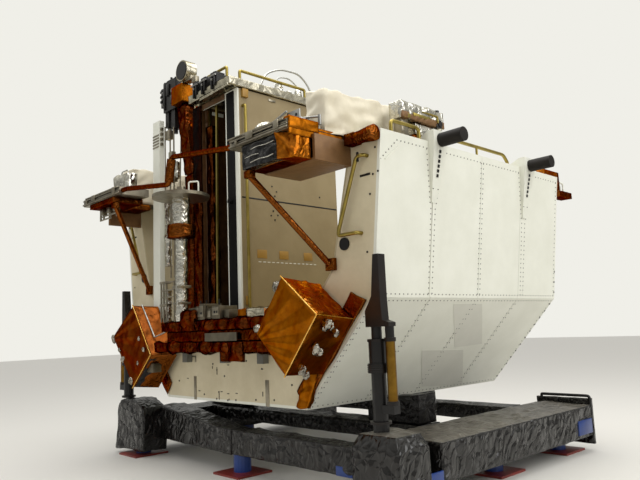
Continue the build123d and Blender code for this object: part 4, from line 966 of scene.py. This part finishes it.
# Black marks for the arms' slots: painted shade of their openings
small_parts("arm_slots", BLACK_METAL,
            boxes=[((flip * 1862, flip * 1972)[::flip], (-4, 0), (1852, 1870)) for flip in (1, -1)]
            + [((flip * 1893, flip * 1915)[::flip], (-70, -62), (1960, 2040)) for flip in (1, -1)])

# Knee jacks: amber-brown sleeves, ribbed collars, and the brackets' foot plates
for flip, name in ((1, "right"), (-1, "left")):
    small_parts(name + "_jack_sleeve", SLEEVE_METAL, rods=[((flip * 2112, -35, 130), (flip * 2112, -35, 560), 36)])
    small_parts(name + "_jack_ribs", BROWN_METAL,
        rods=[((flip * 1983, -35, 336 + 16 * k), (flip * 1983, -35, 344 + 16 * k), 82) for k in range(4)] + [
            ((flip * 1983, -35, 560), (flip * 1983, -35, 580), 74),
            ((flip * 2112, -35, 100), (flip * 2112, -35, 130), 44),
            ((flip * 2112, -35, 560), (flip * 2112, -35, 590), 44),
            ((flip * 1983, -35, -40), (flip * 1983, -35, -20), 80)])
small_parts("cradle_blue_parts", BLUE_ENAMEL,
            boxes=[((2244, 2264), (-120, -20), (-520, -430)), ((2236, 2252), (60, 330), (-500, -400)),
                   ((2230, 2250), (2560, 2860), (-470, -330)), ((1480, 1660), (-34, -22), (-474, -400))])


# Fasteners: heads instanced along rows by a node tree
def fastener_tree():
    """Node tree that puts a flat round head on every point, turned along the point's facing."""
    tree = bpy.data.node_groups.new("fastener_heads", "GeometryNodeTree")
    face = tree.interface
    face.new_socket("Geometry", in_out="INPUT", socket_type="NodeSocketGeometry")
    face.new_socket("Head radius", in_out="INPUT", socket_type="NodeSocketFloat")
    face.new_socket("Head height", in_out="INPUT", socket_type="NodeSocketFloat")
    face.new_socket("Finish", in_out="INPUT", socket_type="NodeSocketMaterial")
    face.new_socket("Geometry", in_out="OUTPUT", socket_type="NodeSocketGeometry")
    given = tree.nodes.new("NodeGroupInput")
    head = put(tree, "GeometryNodeMeshCylinder", Vertices=8, Radius=given.outputs["Head radius"],
               Depth=given.outputs["Head height"])
    facing = put(tree, "GeometryNodeInputNamedAttribute", {"data_type": "FLOAT_VECTOR"}, Name="facing")
    turn = put(tree, "FunctionNodeAlignRotationToVector", {"axis": "Z"}, Vector=facing.outputs[0])
    heads = put(tree, "GeometryNodeInstanceOnPoints", Points=given.outputs["Geometry"], Instance=head.outputs["Mesh"],
                Rotation=turn.outputs[0])
    real = put(tree, "GeometryNodeRealizeInstances", Geometry=heads.outputs[0])
    dressed = put(tree, "GeometryNodeSetMaterial", Geometry=real.outputs[0], Material=given.outputs["Finish"])
    put(tree, "NodeGroupOutput", Geometry=dressed.outputs[0])
    return tree


FASTENERS = fastener_tree()


def row(start, end, facing, pitch):
    """Points along a straight run of carrier millimetres, with the way that their heads face."""
    first, last = Vector(start), Vector(end)
    count = max(1, round((last - first).length / pitch))
    return [(first.lerp(last, k / count), facing) for k in range(count + 1)]


def plain_mesh(work):
    """What a work object's modifiers make, as a mesh without finishes; the work object goes."""
    made = bpy.data.meshes.new_from_object(work.evaluated_get(bpy.context.evaluated_depsgraph_get()))
    mesh = work.data
    bpy.data.objects.remove(work)
    bpy.data.meshes.remove(mesh)
    made.materials.clear()
    return made


def fasteners(name, places, radius, height, finish):
    """Heads on places, each a carrier point and a facing, as one plain mesh."""
    mesh = bpy.data.meshes.new(name + "_places")
    mesh.from_pydata([spot(*point) for point, _ in places], [], [])
    attribute = mesh.attributes.new("facing", "FLOAT_VECTOR", "POINT")
    attribute.data.foreach_set("vector", [value for _, facing in places for value in facing])
    holder = bpy.data.objects.new(name + "_places", mesh)
    bpy.context.scene.collection.objects.link(holder)
    modifier = holder.modifiers.new("heads", "NODES")
    modifier.node_group = FASTENERS
    values = {"Head radius": radius / 1000, "Head height": height / 1000, "Finish": finish}
    for socket in FASTENERS.interface.items_tree:
        if socket.in_out == "INPUT" and socket.name in values:
            modifier[socket.identifier] = values[socket.name]
    show(name, plain_mesh(holder), finish)


# Corners of the outer section as (x, z), and the ways that walls and slopes face
KNEE, SILL, FLOOR_CORNER = (1945, 896), (2102, 2200), (1132, 0)
WALL_FACING = Vector((1304, 0, -157)).normalized()
SLOPE_FACING = Vector((896, 0, -813)).normalized()


def on_wall(flip, y, z, lift=1.0):
    """A point on a side wall's outside."""
    x = KNEE[0] + (SILL[0] - KNEE[0]) * (z - KNEE[1]) / (SILL[1] - KNEE[1])
    return (flip * (x + lift), y, z)


def on_slope(flip, y, z, lift=1.0):
    """A point on a slope's outside."""
    x = FLOOR_CORNER[0] + (KNEE[0] - FLOOR_CORNER[0]) * z / KNEE[1]
    return (flip * (x + lift), y, z - lift)


FAIRINGS = (703, 2203)  # middles of the trunnion fairings along y
places, large_places = [], []
for flip in (1, -1):
    wall = Vector((flip * WALL_FACING.x, 0, WALL_FACING.z))
    slope = Vector((flip * SLOPE_FACING.x, 0, SLOPE_FACING.z))
    wall_runs = [((y, low), (y, high), 46) for y, low, high in (
        (14, 930, 1960), (42, 930, 1990), (1414, 930, 2130), (1452, 930, 2130), (2866, 930, 2130))]
    for middle in FAIRINGS:
        for out in (-1, 1):
            wall_runs += [((middle + out * 24, 930), (middle + out * 30, 1640), 46),
                          ((middle + out * 44, 1690), (middle + out * 116, 2130), 46)]
    wall_runs += [((start, 2138), (end, 2138), 52) for start, end in ((200, 590), (820, 2085), (2320, 2860))]
    wall_runs += [((40, 1990), (200, 2138), 40), ((40, 922), (2860, 922), 52)]
    slope_runs = [((40, 872), (2860, 872), 52), ((40, 26), (2860, 26), 60)]
    slope_runs += [((y, 60), (y, 840), 60) for y in (14, 42, 698, 734, 1412, 1450, 2124, 2162, 2866)]
    for runs, skin_place, facing in ((wall_runs, on_wall, wall), (slope_runs, on_slope, slope)):
        for start, end, pitch in runs:
            places += row(skin_place(flip, *start), skin_place(flip, *end), facing, pitch)
    large_places += row(on_wall(flip, 2884, 960), on_wall(flip, 2884, 1180), wall, 110)
    large_places += row(on_slope(flip, 2884, 60), on_slope(flip, 2884, 840), slope, 98)
fasteners("skin_fasteners", places, 5.5, 4, FASTENER_METAL)
large_places += [((x, -1, z), (0, -1, 0)) for x, z in (
    (-257, 365), (-188, 307), (535, 330), (-160, 94), (-199, 27), (-11, 22), (122, 30), (434, 48), (948, 201),
    (1180, 150), (-900, 180), (700, 60), (-420, 60), (300, 400), (-60, 250))]
large_places += [((flip * x, -1, z), (0, -1, 0)) for flip in (1, -1) for x, z in (
    (2000, 1852), (2053, 1865), (2036, 2060), (1960, 1700), (1900, 1250))]
large_places += [((181, y, z), (1, 0, 0)) for y, z in ((470, 2159), (530, 2110), (505, 2060), (480, 1900),
    (540, 1860), (500, 1808), (450, 1850), (1150, 2120), (1250, 2600))]
fasteners("large_fasteners", large_places, 9, 6, BLACK_METAL)

# Slots in the trunnion fairings as black marks, painted shade of their openings; the raised strip round each wall's cut
# corner, and the seams' cover strips
slots, strips = [], []
for flip in (1, -1):
    for middle in FAIRINGS:
        for low in range(1900, 2140, 40):
            slots.append(sheet_form([on_wall(flip, y, z, 14 + 53 * (z - 1690) / 510) for y, z in (
                (middle - 13, low), (middle + 13, low), (middle + 13, low + 26), (middle - 13, low + 26))], 60, 3))
        for y in (middle - 34, middle + 34):
            slots.append(sheet_form([on_wall(flip, y - 8, 1800, 20), on_wall(flip, y + 8, 1800, 20),
                                     on_wall(flip, y + 8, 1822, 22), on_wall(flip, y - 8, 1822, 22)], 60, 3))
    strips += [sheet_form([on_wall(flip, *corner) for corner in corners], cell, thickness)
               for corners, cell, thickness in (
                   (((66, 1960, 3), (232, 2098, 3), (226, 2108, 3), (60, 1970, 3)), 400, 6),
                   (((2, 900, 2), (54, 900, 2), (54, 1960, 2), (2, 1960, 2)), 900, 3),
                   (((690, 2060, 8), (716, 2060, 8), (716, 900, 2), (690, 900, 2)), 900, 3))]
show("fairing_slots", to_mesh(joined(slots)), BLACK_METAL)
show("wall_strips", to_mesh(joined(strips)), WHITE_PAINT)
# Two touched-up areas on the right slope
patches = [sheet_form([on_slope(1, y, z) for y, z in corners], 3000, 1) for corners in (
    ((1080, 440), (1780, 410), (2240, 20), (1480, 65)), ((1100, 845), (1560, 845), (2060, 455), (1600, 440)))]
show("slope_patches", to_mesh(joined(patches)), PATCH_PAINT)


# Covers of white cloth, draped over what stands beside each arm and drawn in at the foot
COVER_CELL, COVER_STEPS, COVER_THICKNESS, COVER_FOOT = 0.026, 22, 0.003, 2206
COVER_SLACK = 0.026  # how far the settling cloth may move a point, in metres
COVER_FOLD, COVER_DEPTH = 0.13, 0.058
COVER_HELD, COVER_GRAVITY = 0.02, 0.35  # height of the held edge in metres, and the share of gravity
CLOTH_SETTINGS = {
    "quality": 5, "mass": 0.25, "tension_stiffness": 20, "compression_stiffness": 20, "bending_stiffness": 0.15,
    "shrink_min": -0.045, "use_pressure": True, "uniform_pressure_force": 1.4, "vertex_group_mass": "held",
}


def settle(work):
    """Lets the cloth of a cover settle, held at its foot, and keeps it near its cut."""
    mesh = work.data
    foot_z = spot(0, 0, COVER_FOOT).z
    held = work.vertex_groups.new(name="held")
    held.add([vert.index for vert in mesh.vertices if vert.co.z < foot_z + COVER_HELD], 1.0, "REPLACE")
    cloth = work.modifiers.new("cloth", "CLOTH")
    for setting, value in CLOTH_SETTINGS.items():
        setattr(cloth.settings, setting, value)
    cloth.settings.effector_weights.gravity = COVER_GRAVITY
    cloth.point_cache.frame_start, cloth.point_cache.frame_end = 1, COVER_STEPS
    for step in range(1, COVER_STEPS + 1):
        bpy.context.scene.frame_set(step)
    settled = bpy.data.meshes.new_from_object(work.evaluated_get(bpy.context.evaluated_depsgraph_get()))
    bpy.context.scene.frame_set(1)
    work.modifiers.clear()
    for vert, new in zip(mesh.vertices, settled.vertices):
        move = new.co - vert.co
        vert.co += move * min(1.0, COVER_SLACK / max(move.length, 1e-6))
    bpy.data.meshes.remove(settled)


def draped_cover(name, flip, tops, seed, stands_for=()):
    """A cover given by its top corners' heights from the front inner one round: cloth in slack folds."""
    foot = [(flip * x, y) for x, y in ((1505, -248), (1742, -248), (1742, 668), (1505, 668))]
    low = [spot(x, y, COVER_FOOT) for x, y in foot]
    high = [spot(x, y, z) for (x, y), z in zip(foot, tops)]
    counts = [max(1, round((b - a).length / COVER_CELL)) for a, b in zip(low, low[1:] + low[:1])]
    tall = round((high[0] - low[0]).length / COVER_CELL)
    form = bmesh.new()
    for i in range(4):
        j = (i + 1) % 4
        patch(form, (low[i], low[j], high[j], high[i]), (counts[i], tall))
    patch(form, high, (counts[0], counts[1]))
    crumple(closed(form), seed, COVER_FOLD, COVER_DEPTH)
    mesh = bpy.data.meshes.new(name + "_cut")
    form.to_mesh(mesh)
    form.free()
    work = bpy.data.objects.new(name + "_cut", mesh)
    bpy.context.scene.collection.objects.link(work)
    settle(work)
    rounder = work.modifiers.new("rounder", "SUBSURF")
    rounder.levels = rounder.render_levels = 1
    wall = work.modifiers.new("wall", "SOLIDIFY")
    wall.thickness, wall.offset = COVER_THICKNESS, -1.0
    piece = show(name, plain_mesh(work), COVER_CLOTH, stands_for=stands_for, smooth=True)


draped_cover("right_cover", 1, (2648, 2606, 2640, 2652), 131, ("fabric_covers",))
draped_cover("left_cover", -1, (2640, 2610, 2640, 2645), 132)

# Camera, light and floor
CAMERA_PLACE = (5.213, -3.658 + FRONT_FACE, 0.675 + UNDERSIDE)
CAMERA_YAW, CAMERA_PITCH, CAMERA_ROLL = math.radians(46.412), math.radians(7.907), math.radians(-2.286)
FOCAL_PIXELS, FRAME_WIDTH = 636.02, 640.0
SENSOR_WIDTH = 36.0

camera = bpy.data.objects.new("camera", bpy.data.cameras.new("camera"))
bpy.context.scene.collection.objects.link(camera)
bpy.context.scene.camera = camera
camera.data.sensor_width = SENSOR_WIDTH
camera.data.lens = FOCAL_PIXELS * SENSOR_WIDTH / FRAME_WIDTH
ahead = Vector((-math.sin(CAMERA_YAW) * math.cos(CAMERA_PITCH), math.cos(CAMERA_YAW) * math.cos(CAMERA_PITCH),
                math.sin(CAMERA_PITCH)))
level_right = Vector((math.cos(CAMERA_YAW), math.sin(CAMERA_YAW), 0))
level_up = level_right.cross(ahead)
right = level_right * math.cos(CAMERA_ROLL) + level_up * math.sin(CAMERA_ROLL)
up = level_up * math.cos(CAMERA_ROLL) - level_right * math.sin(CAMERA_ROLL)
turn = Matrix((right, up, -ahead)).transposed()
camera.matrix_world = Matrix.Translation(CAMERA_PLACE) @ turn.to_4x4()

BACKDROP_COLOUR, FLOOR_COLOUR = "#f0efe8", "#dddad2"
FLOOR_HALF = 40.0
floor_mesh = bpy.data.meshes.new("floor")
floor_mesh.from_pydata([(x * FLOOR_HALF, y * FLOOR_HALF, 0) for x, y in ((-1, -1), (1, -1), (1, 1), (-1, 1))], [],
                       [(0, 1, 2, 3)])
floor = bpy.data.objects.new("floor", floor_mesh)
bpy.context.scene.collection.objects.link(floor)
floor.data.materials.append(new_finish("pale_floor", 0.6, Base_Color=linear(FLOOR_COLOUR))[0])

world = bpy.data.worlds.new("studio")
bpy.context.scene.world = world
world.use_nodes = True
sky = world.node_tree
sky.nodes.clear()
LIGHT_LEVEL = 0.75
MIRRORED_LOW, MIRRORED_HIGH = 0.30, 1.1  # what gloss shows of the hall: dim at floor level, bright overhead
DIM_UP_TO, BRIGHT_FROM = 0.05, 0.75  # height of the ray's way
rays = put(sky, "ShaderNodeLightPath")
fill = put(sky, "ShaderNodeBackground", Color=linear("#ffffff"), Strength=LIGHT_LEVEL)
wall = put(sky, "ShaderNodeBackground", Color=linear(BACKDROP_COLOUR), Strength=1.0)
facing = put(sky, "ShaderNodeSeparateXYZ", Vector=put(sky, "ShaderNodeTexCoord").outputs["Generated"])
level = put(sky, "ShaderNodeMapRange", Value=facing.outputs["Z"], From_Min=DIM_UP_TO, From_Max=BRIGHT_FROM,
            To_Min=MIRRORED_LOW, To_Max=MIRRORED_HIGH)
hall = put(sky, "ShaderNodeBackground", Color=linear(BACKDROP_COLOUR), Strength=level.outputs[0])
lit = put(sky, "ShaderNodeMixShader", Fac=rays.outputs["Is Glossy Ray"], i1=fill.outputs[0], i2=hall.outputs[0])
seen = put(sky, "ShaderNodeMixShader", Fac=rays.outputs["Is Camera Ray"], i1=lit.outputs[0], i2=wall.outputs[0])
put(sky, "ShaderNodeOutputWorld", Surface=seen.outputs[0])

LAMPS = [
    # name, place, aims at, size in metres, power in watts
    ("window_right", (9.0, 1.0, 6.5), (1.5, 0.0, 2.0), 6.0, 330.0),
    ("ceiling", (0.5, -1.0, 9.0), (0.0, 0.0, 1.5), 7.0, 500.0),
]
for name, place, target, size, power in LAMPS:
    lamp = bpy.data.objects.new(name, bpy.data.lights.new(name, "AREA"))
    bpy.context.scene.collection.objects.link(lamp)
    lamp.data.size = size
    lamp.data.energy = power
    lamp.location = place
    lamp.rotation_mode = "QUATERNION"
    lamp.rotation_quaternion = (Vector(target) - Vector(place)).to_track_quat("-Z", "Y")

bpy.context.scene.view_settings.view_transform = "Standard"
